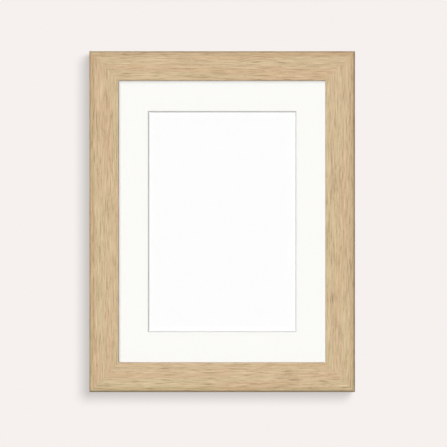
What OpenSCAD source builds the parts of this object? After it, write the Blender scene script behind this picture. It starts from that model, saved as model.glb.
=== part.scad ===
// Mitred wooden picture frame with glass, a bevelled window mat, a print, a back board held
// by turn buttons, an easel strut on a hinge, a sawtooth hanger and two wall pads.
// The front faces -Y, +Z is up, and the origin lies under the middle of the frame's depth.
// Left and right are as seen from the front.

/* [Sheets in the frame] */
// Width of the glass and of the boards
insert_w = 152.4; // [145:0.1:220]
// Height of the glass and of the boards
insert_h = 203.2; // [190:0.1:280]
// Play round the sheets in the rebate
insert_play = 0.6; // [0.3:0.1:1.2]
// Thickness of the glass
glass_t = 2; // [1.5:0.1:3]
// Thickness of the window mat
mat_t = 1.4; // [1:0.1:2.4]
// Thickness of the print
print_t = 0.25; // [0.15:0.01:0.4]
// Thickness of the card behind the print
card_t = 2; // [1:0.1:2.5]
// Thickness of the back board
board_t = 3; // [2.5:0.1:4]
// Play of the whole pack under the turn buttons
pack_play = 0.15; // [0.05:0.05:0.3]

/* [Mat window and print] */
// Border of the mat beyond the print, all round
print_border = 25.4; // [18:0.1:40]
// How far the mat covers each side of the print
side_overlap = 1.6; // [1:0.1:5]
// How far the mat covers the top and the bottom of the print
end_overlap = 2.4; // [1:0.1:5]
// Thickness of the tapes that hang the print
tape_t = 0.15; // [0.1:0.01:0.2]
// Width of each tape
tape_w = 20; // [12:1:30]
// Height of each tape, half of it on the mat
tape_h = 24; // [16:1:30]
// Distance between the middles of the tapes
tape_spacing = 60; // [40:1:75]

/* [Moulding] */
// Width of the moulding's face
moulding_w = 20; // [18:0.5:30]
// Depth of the moulding from front to back
moulding_depth = 15; // [14:0.5:25]
// How far the moulding's lip covers the sheets
lip_overlap = 6.35; // [4:0.05:8]
// Radius of the outer front edge
front_arris_r = 2; // [0.5:0.1:3]
// Radius of the edge round the sight opening
sight_arris_r = 1; // [0.3:0.1:2]
// Radius of the outer back edge
back_arris_r = 0.5; // [0.2:0.1:1]

/* [Corner nails] */
// Thickness of the V-nails' strip
v_nail_t = 0.5; // [0.3:0.1:0.8]
// Length of each wing of a V-nail
v_nail_wing = 4.5; // [3:0.1:6]
// Height of a V-nail
v_nail_h = 8; // [5:0.5:10]
// How far a V-nail is sunk below the back
v_nail_sink = 0.2; // [0:0.1:1]

/* [Turn buttons] */
// Thickness of a turn button
button_t = 0.8; // [0.6:0.1:1.2]
// Radius of a turn button round its screw
button_hub_r = 4; // [3.5:0.1:5]
// Radius of a turn button's tip
button_tip_r = 3; // [2:0.1:3.4]
// Reach of a turn button from its screw to its tip
button_reach = 15; // [12:0.5:15.5]
// Radius of a turn button's screw
screw_r = 1.5; // [1:0.05:2]
// Depth of the screw in the wood
screw_depth = 9; // [6:0.5:10]
// Length of the screw's point
screw_point = 3; // [1:0.5:4]
// Radius of the screw's head
screw_head_r = 3; // [2.4:0.1:3.5]
// Height of the screw's head
screw_head_h = 1.6; // [1.2:0.1:2.2]
// Width of the cross slots in the screw's head
slot_w = 0.8; // [0.5:0.1:1]
// Depth of the cross slots in the screw's head
slot_depth = 0.8; // [0.4:0.1:1]

/* [Strut] */
// Length of the strut
strut_l = 144; // [120:1:155]
// Width of the strut at the hinge
strut_top_w = 36; // [33:1:42]
// Width of the strut at the foot
strut_foot_w = 50; // [40:1:56]
// Thickness of the strut
strut_t = 2.5; // [2.2:0.1:3]
// Size of the strut's cut corners
strut_corner = 3; // [1:0.5:6]
// Height of the closed strut's foot above the bottom edge
foot_rise = 3; // [1:0.5:12]
// How far the strut opens, in degrees
strut_swing = 30; // [20:1:40]

/* [Strut hinge] */
// Thickness of the hinge's leaves
leaf_t = 0.8; // [0.6:0.1:0.9]
// Thickness of the knuckles' wall
knuckle_wall = 0.75; // [0.5:0.05:0.9]
// Length of the strut leaf's knuckle
strut_knuckle_l = 9; // [7:0.5:11]
// Length of each knuckle on the board's leaf
board_knuckle_l = 6; // [5:0.5:7]
// Thickness of the pin's heads
pin_head_t = 0.5; // [0.3:0.1:0.8]
// Width of each heel that stops the strut
heel_w = 3.5; // [2.5:0.5:4.5]
// Height of the board's leaf above the pin
board_leaf_h = 17; // [15:0.5:22]
// Height of the strut's leaf below the strut's top
strut_leaf_h = 15; // [13:0.5:20]
// Distance between the rivets of a leaf
rivet_spacing = 18; // [12:0.5:20]
// Distance of the rivets from the far edge of a leaf
rivet_edge = 6; // [4:0.5:7]
// Radius of the rivets
rivet_r = 1.2; // [0.8:0.1:1.6]
// Radius of the rivets' heads
rivet_head_r = 2.4; // [2:0.1:3]
// Height of the rivets' heads
rivet_head_h = 0.7; // [0.5:0.1:1]
// Rise of the flared tail of the rivets
rivet_flare = 0.8; // [0.4:0.1:1.2]

/* [Sawtooth hanger] */
// Length of the hanger
hanger_l = 45; // [38:1:50]
// Height of the hanger
hanger_h = 9; // [8:0.5:10]
// Thickness of the hanger's strip
hanger_t = 0.8; // [0.5:0.1:1]
// Length of the hanger's raised middle
hanger_raised_l = 26; // [20:1:28]
// Standoff of the raised middle from the wood
hanger_gap = 2; // [1.5:0.1:2.8]
// Length of each slope between the ends and the middle
hanger_slope_l = 2; // [1.5:0.1:2.5]
// Number of notches in the lower edge
notch_count = 9; // [5:2:11]
// Height of the notches
notch_h = 1.8; // [1:0.1:2.5]
// Radius of the hanger's nails
nail_r = 0.7; // [0.5:0.05:0.9]
// Depth of the nails in the wood
nail_depth = 9; // [6:0.5:11]
// Length of the nails' point
nail_point = 1.5; // [0.5:0.1:2]
// Radius of the nails' heads
nail_head_r = 1.6; // [1.2:0.1:2]
// Height of the nails' heads
nail_head_h = 0.7; // [0.5:0.1:1]

/* [Wall pads] */
// Diameter of a pad on the wood
pad_d = 10; // [8:0.5:11]
// Diameter of a pad at the wall
pad_face_d = 8.6; // [7:0.1:10]
// Height of a pad
pad_h = 5; // [4.6:0.1:6]
// Distance of a pad's middle from the side of the frame
pad_inset = 20; // [19:0.5:22]

/* [Hidden] */
$fn = 64;

// Clearance all round a pin or screw that something turns on
running_clearance = 0.05;
// Clearance between the flat faces of pieces that slide past each other
sliding_gap = 0.1;
// Clearance between the strut and the frame, and round the knuckles
strut_gap = 0.3;
// Overrun of every cutting shape
cut_over = 1;

// The opening seen from the front and the outside of the frame
sight_w = insert_w - 2 * lip_overlap;
sight_h = insert_h - 2 * lip_overlap;
outer_w = sight_w + 2 * moulding_w;
outer_h = sight_h + 2 * moulding_w;
mid_z = outer_h / 2;

// The rebate, cut to the depth of the pack that it holds
rebate_w = lip_overlap + insert_play;
rebate_depth = glass_t + mat_t + print_t + tape_t + card_t + board_t + pack_play;
lip_t = moulding_depth - rebate_depth;
back_face_w = moulding_w - rebate_w;

// Planes from front to back
front_y = -(moulding_depth + pad_h) / 2;
back_y = front_y + moulding_depth;
glass_y = front_y + lip_t;
mat_y = glass_y + glass_t;
print_y = mat_y + mat_t;
card_y = print_y + print_t + tape_t;
board_y = card_y + card_t;
board_back_y = board_y + board_t;
button_y = back_y + sliding_gap;
screw_head_y = button_y + button_t + sliding_gap;

// The print, the mat's window at the print, and the tapes on the print's top edge
print_w = insert_w - 2 * print_border;
print_h = insert_h - 2 * print_border;
window_w = print_w - 2 * side_overlap;
window_h = print_h - 2 * end_overlap;
print_top_z = mid_z + print_h / 2;
tape_reach = tape_h / 2;

// The hinge: knuckles round enough to carry the leaf flush on the strut's back
strut_y = back_y + strut_gap;
strut_back_y = strut_y + strut_t;
knuckle_r = (strut_back_y + leaf_t - board_back_y - strut_gap) / 2;
bore_r = knuckle_r - knuckle_wall;
pin_r = bore_r - running_clearance;
pin_y = board_back_y + strut_gap + knuckle_r;
strut_top_z = foot_rise + strut_l;
pin_z = strut_top_z + knuckle_r + strut_gap;
board_knuckle_x = strut_knuckle_l / 2 + strut_gap;
pin_half_l = board_knuckle_x + board_knuckle_l;
heel_x = pin_half_l + pin_head_t + strut_gap;
leaf_w = 2 * (heel_x + heel_w);

// The heel's inner corner meets the board's leaf when the strut is fully open
heel_corner_y = knuckle_r - leaf_t;
leaf_face_y = pin_y - board_back_y - leaf_t;
heel_rise = (heel_corner_y * cos(strut_swing) + leaf_face_y - sliding_gap) / sin(strut_swing);

// Rivets, by the height of their row
board_rivet_z = pin_z + board_leaf_h - rivet_edge;
strut_rivet_z = strut_top_z - strut_leaf_h + rivet_edge;

// The hanger's lower edge, and where its slopes meet the wood
hanger_z = outer_h - (back_face_w + hanger_h) / 2;
hanger_foot_x = hanger_raised_l / 2 + hanger_slope_l;

// Cross slots reach this share of the head's width, heads have this share of straight rim
slot_share = 0.62;
rim_share = 0.3;

// V-nails by the share of the mitre's length on the back face
v_nail_shares = [0.26, 0.6];

// Notches take this share of their pitch
notch_share = 0.8;

// Sides of the frame as shares of its width from the middle and of its height, with the
// quarter turns that bring the outer edge from the bottom to that side
bottom_shares = [0, 0, 0];
right_shares = [0.5, 0.5, -1];
top_shares = [0, 1, 2];
left_shares = [-0.5, 0.5, 1];

// Corners in the same way, by the side that follows them clockwise from the front
bottom_left_shares = [-0.5, 0, 0];
bottom_right_shares = [0.5, 0, -1];
top_right_shares = [0.5, 1, 2];
top_left_shares = [-0.5, 1, 1];

// Turn buttons as a side and a share of the frame's width along it
button_top_left_shares = [top_shares, 0.25];
button_top_right_shares = [top_shares, -0.25];
button_left_shares = [left_shares, 0];
button_right_shares = [right_shares, 0];
button_bottom_left_shares = [bottom_shares, -0.25];
button_bottom_right_shares = [bottom_shares, 0.25];
button_shares = [button_top_left_shares, button_top_right_shares, button_left_shares,
    button_right_shares, button_bottom_left_shares, button_bottom_right_shares];

// An outline in X and Z, given a thickness from y backwards
module plate(y, t) {
    translate([0, y + t, 0]) rotate([90, 0, 0]) linear_extrude(t) children();
}

// A cone along Y from y backwards
module cone_y(y, l, r_front, r_back) {
    translate([0, y, 0]) rotate([-90, 0, 0]) cylinder(h = l, r1 = r_front, r2 = r_back);
}

// A round bar along Y from y backwards
module bar_y(y, l, r) {
    cone_y(y, l, r, r);
}

// A round bar along X, centred
module bar_x(l, r) {
    rotate([0, 90, 0]) cylinder(h = l, r = r, center = true);
}

// A plain sheet of the insert's size
module sheet(y, t, w, h) {
    translate([-w / 2, y, mid_z - h / 2]) cube([w, t, h]);
}

// Children at a side or corner, whose outer edge is the local X axis
module at(place) {
    translate([place[0] * outer_w, 0, place[1] * outer_h]) rotate([0, 90 * place[2], 0]) children();
}

// Children at a turn button's screw
module at_button(button) {
    at(button[0]) translate([button[1] * outer_w, 0, back_face_w / 2]) children();
}

// A domed head on a straight rim, standing on the plane y
module domed_head(y, r, h) {
    dome_h = h * (1 - rim_share);
    dome_r = (r * r + dome_h * dome_h) / (2 * dome_h);
    intersection() {
        bar_y(y, 2 * h, r);
        translate([0, y + h - dome_r, 0]) sphere(dome_r);
    }
}

// A pointed shank from the plane y forwards into the wood, with some length behind it
module shank(y, depth, point, r, behind) {
    bar_y(y - depth + point, depth - point + behind, r);
    cone_y(y - depth, point, 0, r);
}

// Waste that rounds the corner at the origin
module rounding(r) {
    difference() {
        translate([-cut_over, -cut_over]) square(r + cut_over);
        translate([r, r]) circle(r);
    }
}

// Section of the moulding: outer edge at the left, front at the bottom
module moulding_profile() {
    difference() {
        square([moulding_w, moulding_depth]);
        translate([back_face_w, lip_t]) square([rebate_w + cut_over, rebate_depth + cut_over]);
        rounding(front_arris_r);
        translate([moulding_w, 0]) mirror([1, 0]) rounding(sight_arris_r);
        translate([0, moulding_depth]) mirror([0, 1]) rounding(back_arris_r);
    }
}

// One mitred length of moulding with its outer edge along X
module mitred_length(run) {
    intersection() {
        translate([0, front_y, 0]) rotate([0, -90, 0])
            linear_extrude(run, center = true) moulding_profile();
        plate(front_y - cut_over, moulding_depth + 2 * cut_over)
            polygon([[-run / 2 - cut_over, -cut_over], [run / 2 + cut_over, -cut_over], [0, run / 2]]);
    }
}

// The two V-nails of a corner, or with a longer reach the slots that they sit in
module v_pair(reach) {
    for (share = v_nail_shares) {
        inset = share * back_face_w;
        translate([inset, back_y - v_nail_sink - v_nail_h, inset]) {
            cube([v_nail_wing, v_nail_h + reach, v_nail_t]);
            cube([v_nail_t, v_nail_h + reach, v_nail_wing]);
        }
    }
}

module v_nails(corner) {
    color("silver") at(corner) v_pair(0);
}

module hanger_nail_places() {
    for (side = [-1, 1])
        translate([side * (hanger_foot_x + hanger_l / 2) / 2, 0, hanger_z + hanger_h / 2]) children();
}

// One side of the frame, cut for the nails of its two corners
module frame_side(side, run, first_corner, second_corner) {
    difference() {
        at(side) mitred_length(run);
        at(first_corner) v_pair(v_nail_sink + cut_over);
        at(second_corner) v_pair(v_nail_sink + cut_over);
        for (button = button_shares)
            if (button[0] == side)
                at_button(button) shank(back_y, screw_depth, screw_point, screw_r, cut_over);
        if (side == top_shares)
            hanger_nail_places() shank(back_y, nail_depth, nail_point, nail_r, cut_over);
    }
}

module rail_top() {
    color("burlywood") frame_side(top_shares, outer_w, top_left_shares, top_right_shares);
}

module rail_bottom() {
    color("burlywood") frame_side(bottom_shares, outer_w, bottom_left_shares, bottom_right_shares);
}

module stile_left() {
    color("burlywood") frame_side(left_shares, outer_h, bottom_left_shares, top_left_shares);
}

module stile_right() {
    color("burlywood") frame_side(right_shares, outer_h, bottom_right_shares, top_right_shares);
}

module glazing() {
    color("lightcyan", 0.35) sheet(glass_y, glass_t, insert_w, insert_h);
}

// Section of the mat's window, which opens towards the front at 45 degrees
module bevelled_section(half_w) {
    near = half_w + mat_t + cut_over;
    far = half_w - cut_over;
    polygon([[-near, mat_y - cut_over], [near, mat_y - cut_over],
        [far, print_y + cut_over], [-far, print_y + cut_over]]);
}

// Waste of the mat's window
module window_waste() {
    translate([0, 0, mid_z]) intersection() {
        linear_extrude(outer_h, center = true) bevelled_section(window_w / 2);
        rotate([0, 90, 0]) linear_extrude(outer_w, center = true) bevelled_section(window_h / 2);
    }
}

module window_mat() {
    color("white") difference() {
        sheet(mat_y, mat_t, insert_w, insert_h);
        window_waste();
    }
}

module print_sheet() {
    color("snow") sheet(print_y, print_t, print_w, print_h);
}

// Two tapes that step from the back of the mat down onto the back of the print
module print_tapes() {
    color("ivory") for (side = [-1, 1])
        translate([side * tape_spacing / 2, print_y, print_top_z]) {
            translate([-tape_w / 2, 0, 0]) cube([tape_w, tape_t, tape_reach]);
            translate([-tape_w / 2, 0, 0]) cube([tape_w, print_t + tape_t, tape_t]);
            translate([-tape_w / 2, print_t, -tape_reach]) cube([tape_w, tape_t, tape_reach + tape_t]);
        }
}

module backing_card() {
    color("lightgray") sheet(card_y, card_t, insert_w, insert_h);
}

module rivet_places(z) {
    for (side = [-1, 1]) translate([side * rivet_spacing / 2, 0, z]) children();
}

// Shank of a rivet from the plane y backwards, with its tail flared flush with that plane
module rivet_shank(y, l) {
    bar_y(y, l, rivet_r);
    cone_y(y, rivet_flare, rivet_r + rivet_flare, rivet_r);
}

module rivets(z, y, l) {
    color("silver") rivet_places(z) {
        rivet_shank(y, l);
        domed_head(y + l, rivet_head_r, rivet_head_h);
    }
}

module back_board() {
    color("peru") difference() {
        sheet(board_y, board_t, insert_w, insert_h);
        rivet_places(board_rivet_z) rivet_shank(board_y, board_t + cut_over);
    }
}

// A turn button, with its tongue pointing over the back board
module turn_button(button) {
    color("silver") at_button(button) difference() {
        plate(button_y, button_t) {
            circle(button_hub_r);
            translate([-button_tip_r, 0]) square([2 * button_tip_r, button_reach - button_tip_r]);
            translate([0, button_reach - button_tip_r]) circle(button_tip_r);
        }
        bar_y(button_y - cut_over, button_t + 2 * cut_over, screw_r + running_clearance);
    }
}

module turn_button_screws() {
    slot_l = 2 * screw_head_r * slot_share;
    color("silver") for (button = button_shares) at_button(button) difference() {
        union() {
            shank(back_y, screw_depth, screw_point, screw_r, screw_head_y - back_y);
            domed_head(screw_head_y, screw_head_r, screw_head_h);
        }
        for (turn = [0, 90])
            translate([0, screw_head_y + screw_head_h, 0]) rotate([0, turn, 0])
                cube([slot_l, 2 * slot_depth, slot_w], center = true);
    }
}

// The strut, tapered from the foot to the hinge
module strut() {
    half_top = strut_top_w / 2;
    half_foot = strut_foot_w / 2;
    color("peru") difference() {
        plate(strut_y, strut_t) polygon([
            [-half_foot + strut_corner, foot_rise], [half_foot - strut_corner, foot_rise],
            [half_foot, foot_rise + strut_corner], [half_top, strut_top_z - strut_corner],
            [half_top - strut_corner, strut_top_z], [-half_top + strut_corner, strut_top_z],
            [-half_top, strut_top_z - strut_corner], [-half_foot, foot_rise + strut_corner]]);
        rivet_places(strut_rivet_z) rivet_shank(strut_y, strut_t + cut_over);
    }
}

// The strut's leaf: a plate, one knuckle in the middle and a heel at each side
module strut_hinge_strut_leaf() {
    leaf_bottom_z = strut_top_z - strut_leaf_h;
    color("silver") difference() {
        union() {
            plate(strut_back_y, leaf_t) {
                translate([-leaf_w / 2, leaf_bottom_z]) square([leaf_w, strut_leaf_h]);
                translate([-strut_knuckle_l / 2, strut_top_z - leaf_t])
                    square([strut_knuckle_l, pin_z - strut_top_z + leaf_t / 2]);
                for (x = [-leaf_w / 2, leaf_w / 2 - heel_w])
                    translate([x, strut_top_z - leaf_t])
                        square([heel_w, pin_z - strut_top_z + leaf_t + heel_rise]);
            }
            translate([0, pin_y, pin_z]) bar_x(strut_knuckle_l, knuckle_r);
        }
        translate([0, pin_y, pin_z]) bar_x(strut_knuckle_l + 2 * cut_over, bore_r);
        rivet_places(strut_rivet_z) bar_y(strut_back_y - cut_over, leaf_t + 2 * cut_over, rivet_r);
    }
}

// The board's leaf: a plate with a knuckle on each side of the strut's one
module strut_hinge_board_leaf() {
    plate_z = pin_z + knuckle_r + strut_gap;
    color("silver") difference() {
        union() {
            plate(board_back_y, leaf_t) {
                translate([-leaf_w / 2, plate_z]) square([leaf_w, pin_z + board_leaf_h - plate_z]);
                for (x = [-pin_half_l, board_knuckle_x])
                    translate([x, pin_z]) square([board_knuckle_l, plate_z - pin_z + leaf_t]);
            }
            for (side = [-1, 1])
                translate([side * (board_knuckle_x + board_knuckle_l / 2), pin_y, pin_z])
                    bar_x(board_knuckle_l, knuckle_r);
        }
        translate([0, pin_y, pin_z]) bar_x(2 * pin_half_l + 2 * cut_over, bore_r);
        rivet_places(board_rivet_z) bar_y(board_back_y - cut_over, leaf_t + 2 * cut_over, rivet_r);
    }
}

module strut_hinge_pin() {
    color("gray") translate([0, pin_y, pin_z]) {
        bar_x(2 * (pin_half_l + pin_head_t), pin_r);
        for (side = [-1, 1])
            translate([side * (pin_half_l + pin_head_t / 2), 0, 0])
                bar_x(pin_head_t, (bore_r + knuckle_r) / 2);
    }
}

module strut_leaf_rivets() {
    rivets(strut_rivet_z, strut_y, strut_t + leaf_t);
}

module board_leaf_rivets() {
    rivets(board_rivet_z, board_y, board_t + leaf_t);
}

// A strip with flat ends on the wood and a raised, notched middle
module sawtooth_hanger() {
    end_x = hanger_l / 2;
    rise_x = hanger_raised_l / 2;
    pitch = hanger_raised_l / notch_count;
    notch_half_w = pitch * notch_share / 2;
    wood_side = [[-end_x, 0], [-hanger_foot_x, 0], [-rise_x, hanger_gap],
        [rise_x, hanger_gap], [hanger_foot_x, 0], [end_x, 0]];
    wall_side = [for (i = [len(wood_side) - 1 : -1 : 0]) wood_side[i] + [0, hanger_t]];
    color("silver") difference() {
        translate([0, back_y, hanger_z]) linear_extrude(hanger_h) polygon(concat(wood_side, wall_side));
        for (i = [0 : notch_count - 1])
            translate([(i + 1 / 2) * pitch - rise_x, 0, hanger_z])
                plate(back_y, hanger_gap + hanger_t + cut_over) polygon([[-notch_half_w, -cut_over],
                    [notch_half_w, -cut_over], [notch_half_w, 0], [0, notch_h], [-notch_half_w, 0]]);
        hanger_nail_places() bar_y(back_y - cut_over, hanger_t + 2 * cut_over, nail_r);
    }
}

module hanger_nails() {
    color("silver") hanger_nail_places() {
        shank(back_y, nail_depth, nail_point, nail_r, hanger_t);
        domed_head(back_y + hanger_t, nail_head_r, nail_head_h);
    }
}

module wall_pad(side) {
    color("dimgray") translate([side * (outer_w / 2 - pad_inset), 0, back_face_w / 2])
        cone_y(back_y, pad_h, pad_d / 2, pad_face_d / 2);
}

rail_top();
rail_bottom();
stile_left();
stile_right();
v_nails(top_left_shares);  // v_nails_top_left
v_nails(top_right_shares);  // v_nails_top_right
v_nails(bottom_left_shares);  // v_nails_bottom_left
v_nails(bottom_right_shares);  // v_nails_bottom_right
glazing();
window_mat();
print_sheet();
print_tapes();
backing_card();
back_board();
turn_button(button_top_left_shares);  // turn_button_top_left
turn_button(button_top_right_shares);  // turn_button_top_right
turn_button(button_left_shares);  // turn_button_left
turn_button(button_right_shares);  // turn_button_right
turn_button(button_bottom_left_shares);  // turn_button_bottom_left
turn_button(button_bottom_right_shares);  // turn_button_bottom_right
turn_button_screws();
strut();
strut_hinge_strut_leaf();
strut_leaf_rivets();
strut_hinge_board_leaf();
board_leaf_rivets();
strut_hinge_pin();
sawtooth_hanger();
hanger_nails();
wall_pad(-1);  // wall_pad_left
wall_pad(1);  // wall_pad_right
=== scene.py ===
"""Looks of a mitred oak picture frame: moulding, glass, mat, print, backing and hardware.

Every length is in metres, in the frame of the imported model: +X right and +Z up as seen from
the front, the front facing -Y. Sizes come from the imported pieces, and the finer ones that
those don't show are fields of the class that builds the piece.
"""

import logging
import math
from collections.abc import Callable, Iterator, Sequence
from contextlib import contextmanager
from dataclasses import dataclass, field
from enum import Enum
from functools import cached_property

import bmesh
import bpy
from mathutils import Matrix, Vector


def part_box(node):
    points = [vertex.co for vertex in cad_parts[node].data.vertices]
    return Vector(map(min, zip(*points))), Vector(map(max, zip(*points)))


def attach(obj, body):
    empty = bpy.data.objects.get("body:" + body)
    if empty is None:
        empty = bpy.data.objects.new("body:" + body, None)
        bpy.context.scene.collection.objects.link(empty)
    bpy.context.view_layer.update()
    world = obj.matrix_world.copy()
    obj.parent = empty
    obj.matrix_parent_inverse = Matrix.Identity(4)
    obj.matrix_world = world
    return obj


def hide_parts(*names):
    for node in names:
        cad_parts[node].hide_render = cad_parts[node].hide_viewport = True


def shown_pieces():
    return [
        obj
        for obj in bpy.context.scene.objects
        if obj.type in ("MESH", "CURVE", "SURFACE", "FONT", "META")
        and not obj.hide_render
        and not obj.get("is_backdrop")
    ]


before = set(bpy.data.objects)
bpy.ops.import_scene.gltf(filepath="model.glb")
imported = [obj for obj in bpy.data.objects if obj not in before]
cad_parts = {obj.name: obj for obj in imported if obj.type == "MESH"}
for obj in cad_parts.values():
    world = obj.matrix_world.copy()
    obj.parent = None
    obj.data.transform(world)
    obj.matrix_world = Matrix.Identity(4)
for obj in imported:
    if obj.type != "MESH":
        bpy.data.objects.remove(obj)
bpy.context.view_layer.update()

LOG = logging.getLogger("picture_frame")
SMOOTH_ANGLE = math.radians(32)  # an edge that turns less is shaded as round
ONE_PLANE = math.radians(0.3)  # faces that turn less are one flat face
SAME_POINT = 0.000002  # points that are nearer are one point
HAIR = 0.00002  # keeps two faces that touch from lying in one plane
OVERRUN = 0.001  # how far a cutting shape runs past what it cuts
NOISE_ROUGHNESS = 0.55  # how strong each finer layer of a noise is
QUARTER = math.pi / 2

Mesh = bpy.types.Mesh
Material = bpy.types.Material
Socket = bpy.types.NodeSocket
Point = tuple[float, float]
Triple = tuple[float, float, float]
Colour = tuple[float, float, float]


class Side(Enum):
    """A side of the frame: its middle as shares of width and height, and its quarter turns."""

    BOTTOM = (0.0, 0.0, 0)
    RIGHT = (0.5, 0.5, -1)
    TOP = (0.0, 1.0, 2)
    LEFT = (-0.5, 0.5, 1)


class Corner(Enum):
    """A corner of the frame, given as the sides are."""

    BOTTOM_LEFT = (-0.5, 0.0, 0)
    BOTTOM_RIGHT = (0.5, 0.0, -1)
    TOP_RIGHT = (0.5, 1.0, 2)
    TOP_LEFT = (-0.5, 1.0, 1)


class Grain(Enum):
    """Which way the grain of a member runs, as the turn that brings its plank along X."""

    ALONG_X = (0.0, 0.0, 0.0)
    ALONG_Z = (0.0, QUARTER, 0.0)


class Receiver(Enum):
    """What a lamp lights, or what alone shades it: the object, its pale sheets, or the wall."""

    OBJECT = "lit_object"
    SHEETS = "lit_sheets"
    WALL = "lit_wall"


@dataclass(frozen=True)
class Extent:
    """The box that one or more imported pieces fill."""

    low: Vector
    high: Vector

    @classmethod
    def of(cls, *nodes: str) -> "Extent":
        """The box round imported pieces.

        Args:
            *nodes: Their names.

        Returns:
            The box.
        """
        corners = [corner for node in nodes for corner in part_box(node)]
        low = Vector([min(c[axis] for c in corners) for axis in range(3)])
        high = Vector([max(c[axis] for c in corners) for axis in range(3)])
        return cls(low, high)

    @property
    def size(self) -> Vector:
        """Length along each axis."""
        return self.high - self.low

    @property
    def middle(self) -> Vector:
        """Centre of the box."""
        return (self.high + self.low) / 2


MEMBERS = {
    Side.TOP: "rail_top",
    Side.BOTTOM: "rail_bottom",
    Side.LEFT: "stile_left",
    Side.RIGHT: "stile_right",
}
OUTER = Extent.of(*MEMBERS.values())


def place(spot: Side | Corner, along: float = 0.0, inwards: float = 0.0) -> Matrix:
    """Brings a shape from the middle of a bottom edge, or from a bottom left corner, to its place.

    Args:
        spot: The side or corner where the shape goes.
        along: Its distance along that side's outer edge.
        inwards: Its distance from the outer edge.

    Returns:
        The matrix of the place.
    """
    across, up, quarters = spot.value
    middle = Matrix.Translation((across * OUTER.size.x, 0.0, up * OUTER.size.z))
    turn = Matrix.Rotation(quarters * QUARTER, 4, "Y")
    return middle @ turn @ Matrix.Translation((along, 0.0, inwards))


def arc(centre: Point, radius: float, start: float, end: float, steps: int) -> list[Point]:
    """Points of an arc.

    Args:
        centre: Its centre.
        radius: Its radius.
        start: Angle of its first point, in degrees.
        end: Angle of its last point, in degrees.
        steps: Number of equal steps between them.

    Returns:
        The points in order.
    """
    angles = [math.radians(start + (end - start) * i / steps) for i in range(steps + 1)]
    return [(centre[0] + radius * math.cos(a), centre[1] + radius * math.sin(a)) for a in angles]


def evenly(start: Point, end: Point, spacing: float) -> list[Point]:
    """Points between two others, both left out.

    Args:
        start: The point before the first one.
        end: The point after the last one.
        spacing: About how far apart they are.

    Returns:
        The points in order.
    """
    steps = max(1, round(math.dist(start, end) / spacing))
    shares = [i / steps for i in range(1, steps)]
    return [tuple(s + (e - s) * share for s, e in zip(start, end)) for share in shares]


def in_scene(name: str, data: bpy.types.ID) -> bpy.types.Object:
    """A new object in the scene.

    Args:
        name: Its name.
        data: Its mesh, lamp or camera.

    Returns:
        The object.
    """
    item = bpy.data.objects.new(name, data)
    bpy.context.scene.collection.objects.link(item)
    return item


@contextmanager
def opened(mesh: Mesh) -> Iterator[bmesh.types.BMesh]:
    """Opens a mesh for work on its faces, and writes the work back at the end.

    Args:
        mesh: The mesh.

    Yields:
        The open mesh.
    """
    work = bmesh.new()
    work.from_mesh(mesh)
    yield work
    work.to_mesh(mesh)
    work.free()


def mesh_of(points: Sequence[Sequence[float]], faces: Sequence[Sequence[int]]) -> Mesh:
    """A mesh with its faces turned outwards.

    Args:
        points: Its points.
        faces: The points of each face, by number.

    Returns:
        The mesh.
    """
    mesh = bpy.data.meshes.new("work")
    mesh.from_pydata([tuple(p) for p in points], [], [tuple(f) for f in faces])
    with opened(mesh) as work:
        bmesh.ops.recalc_face_normals(work, faces=work.faces)
    return mesh


def ribbon(near: Sequence[Triple], far: Sequence[Triple]) -> Mesh:
    """An open strip of faces between two rows of points, with as many in each.

    Args:
        near: One row.
        far: The other row.

    Returns:
        The strip, with no thickness yet.
    """
    count = len(near)
    faces = [(i, i + 1, i + 1 + count, i + count) for i in range(count - 1)]
    return mesh_of([*near, *far], faces)


def prism(outline: Sequence[Point], front: float, back: float) -> Mesh:
    """An outline in X and Z given a thickness along Y.

    Args:
        outline: The corners in order, without the first one again at the end.
        front: Where it starts on Y.
        back: Where it ends on Y.

    Returns:
        A closed mesh.
    """
    count = len(outline)
    points = [(x, y, z) for y in (front, back) for x, z in outline]
    rims = [(i, (i + 1) % count, (i + 1) % count + count, i + count) for i in range(count)]
    caps = [tuple(range(count)), tuple(range(2 * count - 1, count - 1, -1))]
    return mesh_of(points, caps + rims)


def block(low: Sequence[float], high: Sequence[float]) -> Mesh:
    """A box between two corners."""
    outline = [(low[0], low[2]), (high[0], low[2]), (high[0], high[2]), (low[0], high[2])]
    return prism(outline, low[1], high[1])


def revolved(
    profile: Sequence[Point],
    segments: int = 32,
    ridge: Callable[[float, float], float] | None = None,
) -> Mesh:
    """Turns an outline round the Y axis.

    Args:
        profile: Pairs of radius and Y. A radius of zero at an end closes it in a pole.
        segments: Number of steps of the full turn.
        ridge: Gives what is added to the radius at a Y and a share of the turn, as for a thread.

    Returns:
        A closed mesh.
    """
    points: list[Triple] = []
    rings: list[list[int]] = []
    for radius, y in profile:
        first = len(points)
        if radius == 0:
            points.append((0.0, y, 0.0))
            rings.append([first] * segments)
            continue
        for i in range(segments):
            share = i / segments
            reach = radius + (ridge(y, share) if ridge else 0.0)
            turn = 2 * math.pi * share
            points.append((reach * math.cos(turn), y, reach * math.sin(turn)))
        rings.append(list(range(first, first + segments)))
    faces: list[Sequence[int]] = [ring for ring in (rings[0], rings[-1]) if ring[0] != ring[1]]
    for near, far in zip(rings, rings[1:]):
        for i in range(segments):
            after = (i + 1) % segments
            corners = [near[i], near[after], far[after], far[i]]
            faces.append(list(dict.fromkeys(corners)))
    return mesh_of(points, faces)


def joined(*meshes: Mesh) -> Mesh:
    """One mesh that holds others, each still a closed shell of its own.

    Args:
        *meshes: The others.

    Returns:
        The mesh.
    """
    result = bpy.data.meshes.new("work")
    with opened(result) as work:
        for mesh in meshes:
            work.from_mesh(mesh)
    return result


def moved(mesh: Mesh, matrix: Matrix) -> Mesh:
    """A copy of a mesh in another place.

    Args:
        mesh: The mesh.
        matrix: The way to its new place.

    Returns:
        The copy.
    """
    result = mesh.copy()
    result.transform(matrix)
    return result


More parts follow.
